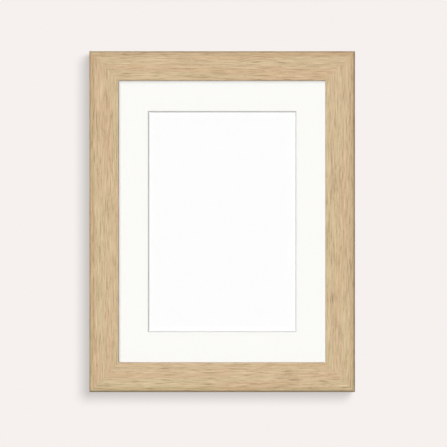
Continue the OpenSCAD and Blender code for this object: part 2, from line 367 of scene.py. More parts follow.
class Nodes:
    """Adds nodes to a tree, each with its inputs, in one call."""

    def __init__(self, tree: bpy.types.NodeTree) -> None:
        """Works on that tree."""
        self.tree = tree

    @classmethod
    def of(cls, owner: Material | bpy.types.World) -> "Nodes":
        """Works on the tree of a material or of the world.

        Args:
            owner: The material or the world, whose tree is emptied.

        Returns:
            The adder.
        """
        owner.use_nodes = True
        owner.node_tree.nodes.clear()
        return cls(owner.node_tree)

    def add(self, kind: str, inputs: dict | None = None, **settings: object) -> bpy.types.Node:
        """Adds one node.

        Args:
            kind: The node's type.
            inputs: Values or outputs of other nodes, by the input's name or index.
            **settings: The node's own properties.

        Returns:
            The new node.
        """
        node = self.tree.nodes.new(kind)
        for name, value in settings.items():
            setattr(node, name, value)
        for key, value in (inputs or {}).items():
            if isinstance(value, Socket):
                self.tree.links.new(value, node.inputs[key])
            else:
                node.inputs[key].default_value = value
        return node

    def out(self, kind: str, inputs: dict | None = None, **settings: object) -> Socket:
        """The first output of a new node."""
        return self.add(kind, inputs, **settings).outputs[0]

    def math(self, operation: str, *values: object) -> Socket:
        """The result of a Math node."""
        return self.out("ShaderNodeMath", dict(enumerate(values)), operation=operation)

    def vector(self, operation: str, *values: object) -> Socket:
        """The vector that a Vector Math node gives."""
        return self.out("ShaderNodeVectorMath", dict(enumerate(values)), operation=operation)

    def mixed(self, share: float, first: Socket, second: Socket) -> Socket:
        """The sum of that share of the first value and the rest of the second."""
        return self.math("MULTIPLY_ADD", first, share, self.math("MULTIPLY", second, 1 - share))

    def ramp(self, value: Socket, span: Point, to: Point = (0.0, 1.0)) -> Socket:
        """A value eased from one span into another."""
        inputs = {"Value": value, 1: span[0], 2: span[1], 3: to[0], 4: to[1]}
        return self.out("ShaderNodeMapRange", inputs, interpolation_type="SMOOTHSTEP")

    def blend(self, share: object, first: Colour | Socket, second: Colour | Socket) -> Socket:
        """A colour between two others.

        Args:
            share: How much of the second one it has, from 0 to 1.
            first: The first colour.
            second: The second colour.

        Returns:
            The colour.
        """
        pair = [c if isinstance(c, Socket) else (*c, 1.0) for c in (first, second)]
        inputs = {0: share, 6: pair[0], 7: pair[1]}
        return self.add("ShaderNodeMix", inputs, data_type="RGBA").outputs[2]

    def attribute(self, name: str) -> Socket:
        """A number that each point carries under that name."""
        return self.out("GeometryNodeInputNamedAttribute", {"Name": name}, data_type="FLOAT")

    def cut(self, solid: Socket, waste: Socket) -> Socket:
        """Cuts other geometry away from a solid.

        Args:
            solid: A closed mesh.
            waste: Closed shells, none of which touches another.

        Returns:
            What is left of the solid.
        """
        inputs = {"Mesh 1": solid, "Mesh 2": waste}
        settings = {"operation": "DIFFERENCE", "solver": "EXACT"}
        return self.out("GeometryNodeMeshBoolean", inputs, **settings)

    def place_on(self, turn: Triple = (0.0, 0.0, 0.0), shift: Triple = (0.0, 0.0, 0.0)) -> Socket:
        """Object coordinates, turned and shifted by a Mapping node.

        Args:
            turn: The turn, as Euler angles.
            shift: The shift.

        Returns:
            The coordinates.
        """
        source = self.add("ShaderNodeTexCoord").outputs["Object"]
        inputs = {"Vector": source, "Location": shift, "Rotation": turn}
        return self.out("ShaderNodeMapping", inputs)

    def noise(self, where: Socket, size: Triple | float, detail: float = 2.0) -> Socket:
        """Noise, from 0 to 1.

        Args:
            where: The coordinates.
            size: About the size of its features, along each axis or along all.
            detail: Number of finer layers in it.

        Returns:
            The noise.
        """
        sizes = size if isinstance(size, tuple) else (size,) * 3
        scaled = self.vector("MULTIPLY", where, tuple(1 / length for length in sizes))
        inputs = {"Vector": scaled, "Scale": 1.0, "Detail": detail, "Roughness": NOISE_ROUGHNESS}
        return self.add("ShaderNodeTexNoise", inputs).outputs["Fac"]


class Recipe:
    """A geometry node tree with named inputs, for any number of workpieces."""

    def __init__(self, name: str) -> None:
        """Starts a tree that takes and gives geometry.

        Args:
            name: The tree's name.
        """
        self.tree = bpy.data.node_groups.new(name, "GeometryNodeTree")
        self.tree.is_modifier = True
        self.nodes = Nodes(self.tree)
        self.keys: dict[str, str] = {}
        self.start = self.tree.nodes.new("NodeGroupInput")
        self.end = self.tree.nodes.new("NodeGroupOutput")
        self.given = self.ask("Geometry", "Geometry")
        face = self.tree.interface
        face.new_socket("Geometry", in_out="OUTPUT", socket_type="NodeSocketGeometry")

    def ask(self, name: str, kind: str = "Float") -> Socket:
        """Adds a named input.

        Args:
            name: Its name.
            kind: What it takes, such as Float, Vector or Material.

        Returns:
            Its value, for other nodes.
        """
        kind = f"NodeSocket{kind}"
        item = self.tree.interface.new_socket(name, in_out="INPUT", socket_type=kind)
        self.keys[name] = item.identifier
        return self.start.outputs[name]

    def shape(self, name: str) -> Socket:
        """Adds a named input for an object, and gives that object's geometry."""
        inputs = {"Object": self.ask(name, "Object")}
        return self.nodes.add("GeometryNodeObjectInfo", inputs).outputs["Geometry"]

    def copies(self, points: Socket, piece: Socket, turns: object = (0.0, 0.0, 0.0)) -> Socket:
        """Copies of a piece on points, each turned."""
        inputs = {"Points": points, "Instance": piece, "Rotation": turns}
        return self.nodes.out("GeometryNodeInstanceOnPoints", inputs)

    def real(self, copies: Socket) -> Socket:
        """Copies made plain geometry."""
        return self.nodes.out("GeometryNodeRealizeInstances", {"Geometry": copies})

    def give(self, geometry: Socket) -> None:
        """Ends the tree: copies made real, then the finish set, which is its last input.

        Args:
            geometry: What the tree has made.
        """
        inputs = {"Geometry": self.real(geometry), "Material": self.ask("Finish", "Material")}
        dressed = self.nodes.out("GeometryNodeSetMaterial", inputs)
        self.tree.links.new(dressed, self.end.inputs[0])


class Workpiece:
    """A mesh that is worked step by step, each step applied before the next one."""

    def __init__(self, mesh: Mesh) -> None:
        """Puts the mesh on the bench."""
        self.bench = in_scene("bench", mesh)

    def _apply(self) -> "Workpiece":
        """Turns what the modifiers give into the plain mesh and removes them.

        Returns:
            This workpiece.
        """
        graph = bpy.context.evaluated_depsgraph_get()
        shaped = self.bench.evaluated_get(graph)
        mesh = bpy.data.meshes.new_from_object(
            shaped, preserve_all_data_layers=True, depsgraph=graph
        )
        self.bench.modifiers.clear()
        self.bench.data = mesh
        return self

    def _worked(self, kind: str, **settings: object) -> "Workpiece":
        """Works it by one modifier.

        Args:
            kind: The modifier's type.
            **settings: Its properties.

        Returns:
            This workpiece.
        """
        modifier = self.bench.modifiers.new(kind.lower(), kind)
        for name, value in settings.items():
            setattr(modifier, name, value)
        return self._apply()

    def cleaned(self, flat: bool = True) -> "Workpiece":
        """Merges points that a cut left doubled.

        Args:
            flat: Whether faces that lie in one plane are joined too.

        Returns:
            This workpiece.
        """
        with opened(self.bench.data) as work:
            bmesh.ops.remove_doubles(work, verts=work.verts, dist=SAME_POINT)
            bmesh.ops.dissolve_degenerate(work, edges=work.edges, dist=SAME_POINT)
            if flat:
                parts = {"verts": work.verts, "edges": work.edges}
                bmesh.ops.dissolve_limit(work, angle_limit=ONE_PLANE, **parts)
        return self

    def eased(self, width: float, segments: int = 2) -> "Workpiece":
        """Rounds every sharp edge.

        Args:
            width: How far the rounding reaches from the edge.
            segments: Its number of steps.

        Returns:
            This workpiece.
        """
        self.cleaned()
        self._worked(
            "BEVEL",
            width=width,
            segments=segments,
            limit_method="ANGLE",
            angle_limit=SMOOTH_ANGLE,
            use_clamp_overlap=True,
        )
        return self.cleaned(flat=False)

    def split(self) -> "Workpiece":
        """Splits faces of more than four corners into well shaped triangles, with no slivers.

        Returns:
            This workpiece.
        """
        with opened(self.bench.data) as work:
            many = [face for face in work.faces if len(face.verts) > 4]
            bmesh.ops.triangulate(work, faces=many, ngon_method="BEAUTY")
            bmesh.ops.dissolve_degenerate(work, edges=work.edges, dist=SAME_POINT)
        return self

    def evened(self) -> "Workpiece":
        """Lets large faces rule the shading, so that a flat face is lit as flat up to its edges."""
        return self._worked("WEIGHTED_NORMAL", keep_sharp=True)

    def thickened(self, thickness: float) -> "Workpiece":
        """Gives an open sheet its thickness, half of it to each side."""
        return self._worked("SOLIDIFY", thickness=thickness, offset=0.0, use_even_offset=True)

    def _combined(self, other: Mesh, operation: str) -> "Workpiece":
        """Joins it with, or cuts it by, another closed mesh.

        Args:
            other: The other mesh.
            operation: UNION, DIFFERENCE or INTERSECT.

        Returns:
            This workpiece.
        """
        tool = in_scene("tool", other)
        self._worked("BOOLEAN", object=tool, solver="EXACT", operation=operation)
        bpy.data.objects.remove(tool)
        return self

    def cut(self, waste: Mesh) -> "Workpiece":
        """Cuts the waste away."""
        return self._combined(waste, "DIFFERENCE")

    def trimmed(self, bounds: Mesh) -> "Workpiece":
        """Keeps only what lies inside the bounds."""
        return self._combined(bounds, "INTERSECT")

    def welded(self, part: Mesh) -> "Workpiece":
        """Makes it one with another part."""
        return self._combined(part, "UNION")

    def by(self, recipe: Recipe, **inputs: object) -> "Workpiece":
        """Shapes it by a recipe.

        Args:
            recipe: The tree.
            **inputs: Values of its inputs, with _ for a space and without their capitals. A mesh
                is handed over as an object.

        Returns:
            This workpiece.
        """
        modifier = self.bench.modifiers.new("recipe", "NODES")
        modifier.node_group = recipe.tree
        tools = []
        for name, value in inputs.items():
            if isinstance(value, Mesh):
                value = in_scene("tool", value)
                tools.append(value)
            modifier[recipe.keys[name.replace("_", " ").capitalize()]] = value
        self.bench.update_tag()
        self._apply()
        for tool in tools:
            bpy.data.objects.remove(tool)
        return self

    def done(self) -> Mesh:
        """Takes the mesh off the bench.

        Returns:
            The finished mesh.
        """
        mesh = self.bench.data
        bpy.data.objects.remove(self.bench)
        return mesh


@dataclass(frozen=True)
class Fitting:
    """How a finished mesh joins the part: its name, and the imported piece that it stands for."""

    name: str
    stands_for: str
    slot: str = "steel"
    body: str = "frame"

    def add(self, mesh: Mesh, *finishes: Material) -> bpy.types.Object:
        """Makes the mesh a piece of the part.

        Args:
            mesh: The finished mesh, in its place.
            *finishes: Its materials, in the order of its slots.

        Returns:
            The new piece.
        """
        mesh = Workpiece(mesh).split().done()
        mesh.shade_smooth()
        mesh.set_sharp_from_angle(angle=SMOOTH_ANGLE)
        mesh = Workpiece(mesh).evened().done()
        mesh.name = self.name
        mesh.materials.clear()
        for finish in finishes:
            mesh.materials.append(finish)
        piece = in_scene(self.name, mesh)
        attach(piece, self.body)
        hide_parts(self.stands_for)
        LOG.info("%s: %d faces on %s", self.name, len(mesh.polygons), self.body)
        return piece


def dress(node: str, finish: Material) -> None:
    """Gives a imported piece, which keeps its own mesh, its finish.

    Args:
        node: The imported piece.
        finish: Its material.
    """
    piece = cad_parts[node]
    piece.data.materials.clear()
    piece.data.materials.append(finish)
    LOG.info("%s: kept, dressed in %s", node, finish.name)


@dataclass(frozen=True)
class Finish:
    """What every finish has: a name, and a material that it paints.

    In the finishes, a span holds the two values of a noise between which one tone goes over
    into the next, and gloss holds the roughness at both ends of its span.
    """

    name: str

    def material(self) -> Material:
        """Builds the material.

        Returns:
            The material.
        """
        material = bpy.data.materials.new(self.name)
        nodes = Nodes.of(material)
        nodes.add("ShaderNodeOutputMaterial", {"Surface": self.paint(nodes)})
        return material

    def paint(self, nodes: Nodes) -> Socket:
        """Adds the finish's nodes and gives what goes to the surface."""
        raise NotImplementedError

    @staticmethod
    def coat(
        nodes: Nodes,
        colour: Socket,
        rough: Socket,
        height: Socket,
        depth: float,
        shine: float = 0.5,
        metal: float = 0.0,
    ) -> Socket:
        """A Principled shader with a relief.

        Args:
            nodes: The adder of the material's tree.
            colour: Base colour.
            rough: Roughness.
            height: Height of the relief.
            depth: How far a height of 1 stands proud.
            shine: Level of its specular reflection.
            metal: 1 for bare metal.

        Returns:
            The shader's output.
        """
        bump = {"Height": height, "Distance": depth, "Strength": 1.0}
        inputs = {
            "Base Color": colour,
            "Roughness": rough,
            "Normal": nodes.out("ShaderNodeBump", bump),
            "Specular IOR Level": shine,
            "Metallic": metal,
        }
        return nodes.out("ShaderNodeBsdfPrincipled", inputs)


@dataclass(frozen=True)
class Oak(Finish):
    """Pale sanded oak with a thin coat of matt oil, darker along the outer edge.

    Two marks darken the outer edge, each with its width: edge_wear_and_shade is a wider band,
    partly handling wear and partly painted shade of the rounded edge, and rim is a narrow strip of
    painted shade on the outermost arris. A fade holds the shares of that width between which a
    mark ends, inwards on the face or down the side.
    """

    grain: Grain = Grain.ALONG_X
    shift: Triple = (0.0, 0.0, 0.0)
    body: Colour = (0.676, 0.508, 0.318)
    warm: Colour = (0.669, 0.473, 0.288)
    warm_span: Point = (0.42, 0.62)
    olive: Colour = (0.648, 0.520, 0.308)
    olive_span: Point = (0.48, 0.66)
    light: Colour = (0.781, 0.606, 0.393)
    light_span: Point = (0.50, 0.66)
    dark: Colour = (0.437, 0.312, 0.182)
    dark_span: Point = (0.49, 0.34)
    drift: Triple = (0.05, 0.015, 0.015)
    wander: float = 0.0009
    streak: Triple = (0.013, 0.00062, 0.00062)
    fibre: Triple = (0.008, 0.0005, 0.0005)
    fibre_share: float = 0.4
    band: Triple = (0.11, 0.005, 0.005)
    olive_shift: Triple = (0.3, 0.2, 0.1)
    pore: Triple = (0.0032, 0.00022, 0.00022)
    pore_span: Point = (0.61, 0.69)
    pore_figure_span: Point = (0.58, 0.45)
    pore_tone: float = 0.45
    pore_depth: float = 0.00006
    figure_rise: float = 0.5
    gloss_span: Point = (0.35, 0.65)
    gloss: Point = (0.62, 0.50)
    shine: float = 0.35
    # a wider darker band along the outer edge: handling wear and painted shade of the rounded edge
    edge_wear_and_shade: Colour = (0.90, 0.875, 0.84)
    edge_wear_and_shade_w: float = 0.0036
    # a narrow strip of painted shade on the outermost arris
    rim: Colour = (0.74, 0.74, 0.75)
    rim_w: float = 0.001
    fade_in: Point = (0.75, 1.25)
    fade_down: Point = (1.0, 2.0)

    def edge_shade_band(self, nodes: Nodes, width: float) -> Socket:
        """A band along the outer edge of the face and down its side, which a mark of painted shade
        darkens.

        Args:
            nodes: The adder of the material's tree.
            width: How far the mark reaches from the edge.

        Returns:
            How much of the mark is here, from 0 to 1.
        """
        where = nodes.add("ShaderNodeTexCoord").outputs["Object"]
        apart = nodes.vector("ABSOLUTE", nodes.vector("SUBTRACT", where, OUTER.middle))
        axis = 0 if self.grain is Grain.ALONG_Z else 2
        from_middle = nodes.add("ShaderNodeSeparateXYZ", {0: apart}).outputs[axis]
        inset = nodes.math("SUBTRACT", OUTER.size[axis] / 2, from_middle)
        y = nodes.add("ShaderNodeSeparateXYZ", {0: where}).outputs[1]
        depth = nodes.math("SUBTRACT", y, OUTER.low.y)
        fades = (inset, self.fade_in), (depth, self.fade_down)
        spans = [(way, (width * near, width * far)) for way, (near, far) in fades]
        return nodes.math("MULTIPLY", *[nodes.ramp(*span, (1.0, 0.0)) for span in spans])

    def paint(self, nodes: Nodes) -> Socket:
        """Wandering streaks, finer fibres, tinted bands and open pores.

        Args:
            nodes: The adder of the material's tree.

        Returns:
            The surface.
        """
        plank = nodes.place_on(self.grain.value, self.shift)
        drift = nodes.math("SUBTRACT", nodes.noise(plank, self.drift), 0.5)
        sway = nodes.math("MULTIPLY", drift, 2 * self.wander)
        sway = nodes.out("ShaderNodeCombineXYZ", {1: sway, 2: sway})
        plank = nodes.vector("ADD", plank, sway)

        streaks = nodes.noise(plank, self.streak, detail=3.0)
        fibres = nodes.noise(plank, self.fibre)
        figure = nodes.mixed(self.fibre_share, fibres, streaks)
        bands = nodes.noise(plank, self.band, detail=1.0)
        tints = nodes.noise(nodes.vector("ADD", plank, self.olive_shift), self.band, detail=1.0)
        open_pores = nodes.ramp(nodes.noise(plank, self.pore, detail=1.0), self.pore_span)
        pores = nodes.math("MULTIPLY", open_pores, nodes.ramp(figure, self.pore_figure_span))

        colour = nodes.blend(nodes.ramp(bands, self.warm_span), self.body, self.warm)
        colour = nodes.blend(nodes.ramp(tints, self.olive_span), colour, self.olive)
        colour = nodes.blend(nodes.ramp(figure, self.light_span), colour, self.light)
        colour = nodes.blend(nodes.ramp(figure, self.dark_span), colour, self.dark)
        colour = nodes.blend(nodes.math("MULTIPLY", pores, self.pore_tone), colour, self.dark)
        # Painted shade darkens the outer edge: the wide band also stands for handling wear, the
        # narrow rim is shade alone.
        for width, shade in ((self.edge_wear_and_shade_w, self.edge_wear_and_shade), (self.rim_w, self.rim)):
            mark = nodes.blend(self.edge_shade_band(nodes, width), (1.0, 1.0, 1.0), shade)
            colour = nodes.vector("MULTIPLY", colour, mark)

        rough = nodes.ramp(figure, self.gloss_span, self.gloss)
        height = nodes.math("SUBTRACT", nodes.math("MULTIPLY", figure, self.figure_rise), pores)
        return self.coat(nodes, colour, rough, height, self.pore_depth, self.shine)


@dataclass(frozen=True)
class Hardboard(Finish):
    """Brown hard fibreboard: a hot-pressed, slightly glossy face with matted fibres."""

    shift: Triple = (0.0, 0.0, 0.0)
    body: Colour = (0.30, 0.178, 0.092)
    pale: Colour = (0.345, 0.21, 0.115)
    cloud: float = 0.02
    cloud_span: Point = (0.35, 0.65)
    fibre: Colour = (0.43, 0.28, 0.16)
    fibre_size: Triple = (0.0018, 0.00013, 0.00013)
    fibre_span: Point = (0.62, 0.78)
    fibre_tone: float = 0.5
    lays: tuple[float, ...] = (-1.2, -0.35, 0.5, 1.35)
    dark: Colour = (0.185, 0.103, 0.052)
    gap_span: Point = (0.60, 0.50)
    speck: Triple = (0.0007, 0.0005, 0.0007)
    speck_span: Point = (0.64, 0.74)
    speck_tone: float = 0.8
    gloss_span: Point = (0.3, 0.7)
    gloss: Point = (0.42, 0.58)
    relief_depth: float = 0.00002

    def paint(self, nodes: Nodes) -> Socket:
        """Clouds, fibres that lie in several directions, and dark specks of bark.

        Args:
            nodes: The adder of the material's tree.

        Returns:
            The surface.
        """
        sheet = nodes.place_on(shift=self.shift)
        clouds = nodes.noise(sheet, self.cloud, detail=3.0)
        layers = []
        for angle in self.lays:
            lay = nodes.place_on((0.0, angle, 0.0), tuple(s + angle for s in self.shift))
            layers.append(nodes.noise(lay, self.fibre_size, detail=1.0))
        pairs = [nodes.math("MAXIMUM", *pair) for pair in (layers[:2], layers[2:])]
        fibres = nodes.math("MAXIMUM", *pairs)
        specks = nodes.noise(sheet, self.speck, detail=1.0)

        colour = nodes.blend(nodes.ramp(clouds, self.cloud_span), self.body, self.pale)
        tone = (0.0, self.fibre_tone)
        colour = nodes.blend(nodes.ramp(fibres, self.fibre_span, tone), colour, self.fibre)
        colour = nodes.blend(nodes.ramp(fibres, self.gap_span, tone), colour, self.dark)
        bark = nodes.ramp(specks, self.speck_span, (0.0, self.speck_tone))
        colour = nodes.blend(bark, colour, self.dark)
        rough = nodes.ramp(clouds, self.gloss_span, self.gloss)
        return self.coat(nodes, colour, rough, fibres, self.relief_depth)


@dataclass(frozen=True)
class Zinc(Finish):
    """Bright zinc on rolled steel, with the marks of the rolls and of the tumbling barrel."""

    bright: Colour = (0.60, 0.60, 0.595)
    dull: Colour = (0.54, 0.54, 0.54)
    dull_span: Point = (0.38, 0.62)
    rolled: Triple = (0.005, 0.00012, 0.00012)
    blotch: float = 0.0014
    blotch_share: float = 0.6
    nick: float = 0.0004
    nick_span: Point = (0.55, 0.7)
    nick_rough: float = 0.12
    gloss_span: Point = (0.35, 0.65)
    gloss: Point = (0.44, 0.30)
    relief_depth: float = 0.000004

    def paint(self, nodes: Nodes) -> Socket:
        """Roll marks along one way, blotches of the plating, and nicks.

        Args:
            nodes: The adder of the material's tree.

        Returns:
            The surface.
        """
        strip = nodes.place_on()
        rolls = nodes.noise(strip, self.rolled)
        nicks = nodes.noise(strip, self.nick, detail=1.0)
        wear = nodes.mixed(self.blotch_share, nodes.noise(strip, self.blotch), rolls)
        colour = nodes.blend(nodes.ramp(wear, self.dull_span), self.dull, self.bright)
        smooth = nodes.ramp(wear, self.gloss_span, self.gloss)
        nicked = nodes.ramp(nicks, self.nick_span)
        rough = nodes.math("MULTIPLY_ADD", nicked, self.nick_rough, smooth)
        height = nodes.math("ADD", rolls, nicks)
        return self.coat(nodes, colour, rough, height, self.relief_depth, metal=1.0)


@dataclass(frozen=True)
class Board(Finish):
    """Paper or paper board: a toned sheet with a faint fleck and tooth."""

    tone: Colour = (0.9, 0.9, 0.9)
    fleck: Colour = (0.8, 0.8, 0.8)
    fleck_tone: float = 0.3
    tooth: float = 0.0006
    tooth_depth: float = 0.00001
    gloss: Point = (0.9, 0.8)
    shine: float = 0.2
    cloud: float = 0.02
    cloud_share: float = 0.35
    fleck_span: Point = (0.42, 0.66)
    gloss_span: Point = (0.3, 0.7)

    def paint(self, nodes: Nodes) -> Socket:
        """Fibres too fine to see one by one, in clouds.

        Args:
            nodes: The adder of the material's tree.

        Returns:
            The surface.
        """
        sheet = nodes.place_on()
        teeth = nodes.noise(sheet, self.tooth)
        share = nodes.mixed(self.cloud_share, nodes.noise(sheet, self.cloud), teeth)
        flecks = nodes.ramp(share, self.fleck_span, (0.0, self.fleck_tone))
        colour = nodes.blend(flecks, self.tone, self.fleck)
        rough = nodes.ramp(teeth, self.gloss_span, self.gloss)
        return self.coat(nodes, colour, rough, teeth, self.tooth_depth, self.shine)


@dataclass(frozen=True)
class ClearGlass(Finish):
    """Float glass, which lets lamps through and mirrors a little, more so at a slant."""

    tint: Colour = (0.998, 0.999, 0.998)
    smear: Triple = (0.05, 0.05, 0.03)
    wiped: Triple = (0.0, 0.6, 0.0)
    gloss_span: Point = (0.35, 0.7)
    gloss: Point = (0.02, 0.07)
    index: float = 1.5

    def paint(self, nodes: Nodes) -> Socket:
        """A clear film for light, and a mirror that a wiped smear dulls a little.

        Args:
            nodes: The adder of the material's tree.

        Returns:
            The surface.
        """
        smears = nodes.noise(nodes.place_on(self.wiped), self.smear, detail=3.0)
        rough = nodes.ramp(smears, self.gloss_span, self.gloss)
        inputs = {"Roughness": rough, "Color": (1.0, 1.0, 1.0, 1.0)}
        mirror = nodes.out("ShaderNodeBsdfGlossy", inputs)
        film = nodes.out("ShaderNodeBsdfTransparent", {"Color": (*self.tint, 1.0)})
        slant = nodes.out("ShaderNodeFresnel", {"IOR": self.index})
        inside = nodes.add("ShaderNodeNewGeometry").outputs["Backfacing"]
        share = nodes.math("MULTIPLY", slant, nodes.math("SUBTRACT", 1.0, inside))
        return nodes.out("ShaderNodeMixShader", {0: share, 1: film, 2: mirror})


@dataclass(frozen=True)
class Rubber(Finish):
    """Matt black rubber with a moulded stipple and a little chalky bloom."""

    black: Colour = (0.018, 0.018, 0.019)
    bloom: Colour = (0.06, 0.06, 0.062)
    bloom_size: float = 0.004
    bloom_span: Point = (0.4, 0.7)
    gloss_span: Point = (0.3, 0.7)
    gloss: Point = (0.62, 0.82)
    stipple: float = 0.0005
    relief_depth: float = 0.00004

    def paint(self, nodes: Nodes) -> Socket:
        """Stipple all over, and bloom in clouds.

        Args:
            nodes: The adder of the material's tree.

        Returns:
            The surface.
        """
        skin = nodes.place_on()
        grains = nodes.noise(skin, self.stipple, detail=1.0)
        clouds = nodes.noise(skin, self.bloom_size, detail=3.0)
        colour = nodes.blend(nodes.ramp(clouds, self.bloom_span), self.black, self.bloom)
        rough = nodes.ramp(clouds, self.gloss_span, self.gloss)
        return self.coat(nodes, colour, rough, grains, self.relief_depth)


@dataclass(frozen=True)
class WallPaint(Finish):
    """A plain painted wall, seen at its own pale tone from the front and clear from behind."""

    pale: Colour = (1.0, 1.0, 1.0)
    glow: float = 0.64
    paint_share: float = 0.12

    def paint(self, nodes: Nodes) -> Socket:
        """A glow for the camera alone, and a thin coat of paint that holds the shadow.

        Args:
            nodes: The adder of the material's tree.

        Returns:
            The surface.
        """
        seen = nodes.add("ShaderNodeLightPath").outputs["Is Camera Ray"]
        inputs = {"Color": (*self.pale, 1.0), "Strength": nodes.math("MULTIPLY", seen, self.glow)}
        glow = nodes.out("ShaderNodeEmission", inputs)
        shade = tuple(share * self.paint_share for share in self.pale)
        paint = nodes.out("ShaderNodeBsdfDiffuse", {"Color": (*shade, 1.0)})
        front = nodes.out("ShaderNodeAddShader", {0: glow, 1: paint})
        clear = nodes.out("ShaderNodeBsdfTransparent")
        behind = nodes.add("ShaderNodeNewGeometry").outputs["Backfacing"]
        return nodes.out("ShaderNodeMixShader", {0: behind, 1: front, 2: clear})


@dataclass(frozen=True)
class DomedHead:
    """A domed head on a short straight rim, whose foot is eased."""

    radius: float
    height: float
    rim_share: float = 0.3
    foot_in: float = 0.12
    foot_up: float = 0.25
    steps: int = 7

    def profile(self, base: float) -> list[Point]:
        """The head's outline.

        Args:
            base: Where it stands on Y.

        Returns:
            Pairs of radius and Y, from its foot to its pole.
        """
        rim = self.height * self.rim_share
        dome = self.height - rim
        sphere = (self.radius**2 + dome**2) / (2 * dome)
        reach = math.asin(self.radius / sphere)
        angles = [reach * (1 - i / self.steps) for i in range(self.steps)]
        centre = base + self.height - sphere
        foot = [(self.radius - self.foot_in * rim, base), (self.radius, base + self.foot_up * rim)]
        curve = [(sphere * math.sin(a), centre + sphere * math.cos(a)) for a in angles]
        return [*foot, *curve, (0.0, base + self.height)]


@dataclass
class Hardware:
    """Plated small pieces: single ones, and copies that geometry nodes put in their places."""

    plating: Zinc = Zinc("zinc_plate")

    @cached_property
    def finish(self) -> Material:
        """The material of all the plated pieces."""
        return self.plating.material()

    @cached_property
    def recipe(self) -> Recipe:
        """Copies of one small piece, each at a point and turned round Y, some by chance.

        Returns:
            The recipe.
        """
        recipe = Recipe("scattered_copies")
        nodes = recipe.nodes
        piece, spin, seed = recipe.shape("Piece"), recipe.ask("Spin"), recipe.ask("Seed", "Int")
        inputs = {2: nodes.math("MULTIPLY", spin, -1.0), 3: spin, "Seed": seed}
        chance = nodes.add("FunctionNodeRandomValue", inputs, data_type="FLOAT").outputs[1]
        turn = nodes.math("ADD", nodes.attribute("turn"), chance)
        turns = nodes.out("ShaderNodeCombineXYZ", {1: turn})
        recipe.give(recipe.copies(recipe.given, piece, turns))
        return recipe

    def fit(self, fitting: Fitting, mesh: Mesh) -> None:
        """Adds one plated piece."""
        fitting.add(mesh, self.finish)

    def scatter(
        self,
        fitting: Fitting,
        mesh: Mesh,
        spots: Sequence[Matrix],
        spin: float = 0.0,
        seed: int = 0,
    ) -> None:
        """Adds plated copies of one mesh as one piece.

        Args:
            fitting: How they join the part.
            mesh: What is copied, its axis on the Y axis.
            spots: Where the copies go.
            spin: How far each may be turned from its place by chance, to either side.
            seed: Seed of that chance.
        """
        points = bpy.data.meshes.new("spots")
        points.from_pydata([spot.translation for spot in spots], [], [])
        turns = points.attributes.new("turn", "FLOAT", "POINT")
        turns.data.foreach_set("value", [math.atan2(spot[0][2], spot[0][0]) for spot in spots])
        inputs = {"piece": mesh, "spin": spin, "seed": seed, "finish": self.finish}
        self.fit(fitting, Workpiece(points).by(self.recipe, **inputs).done())


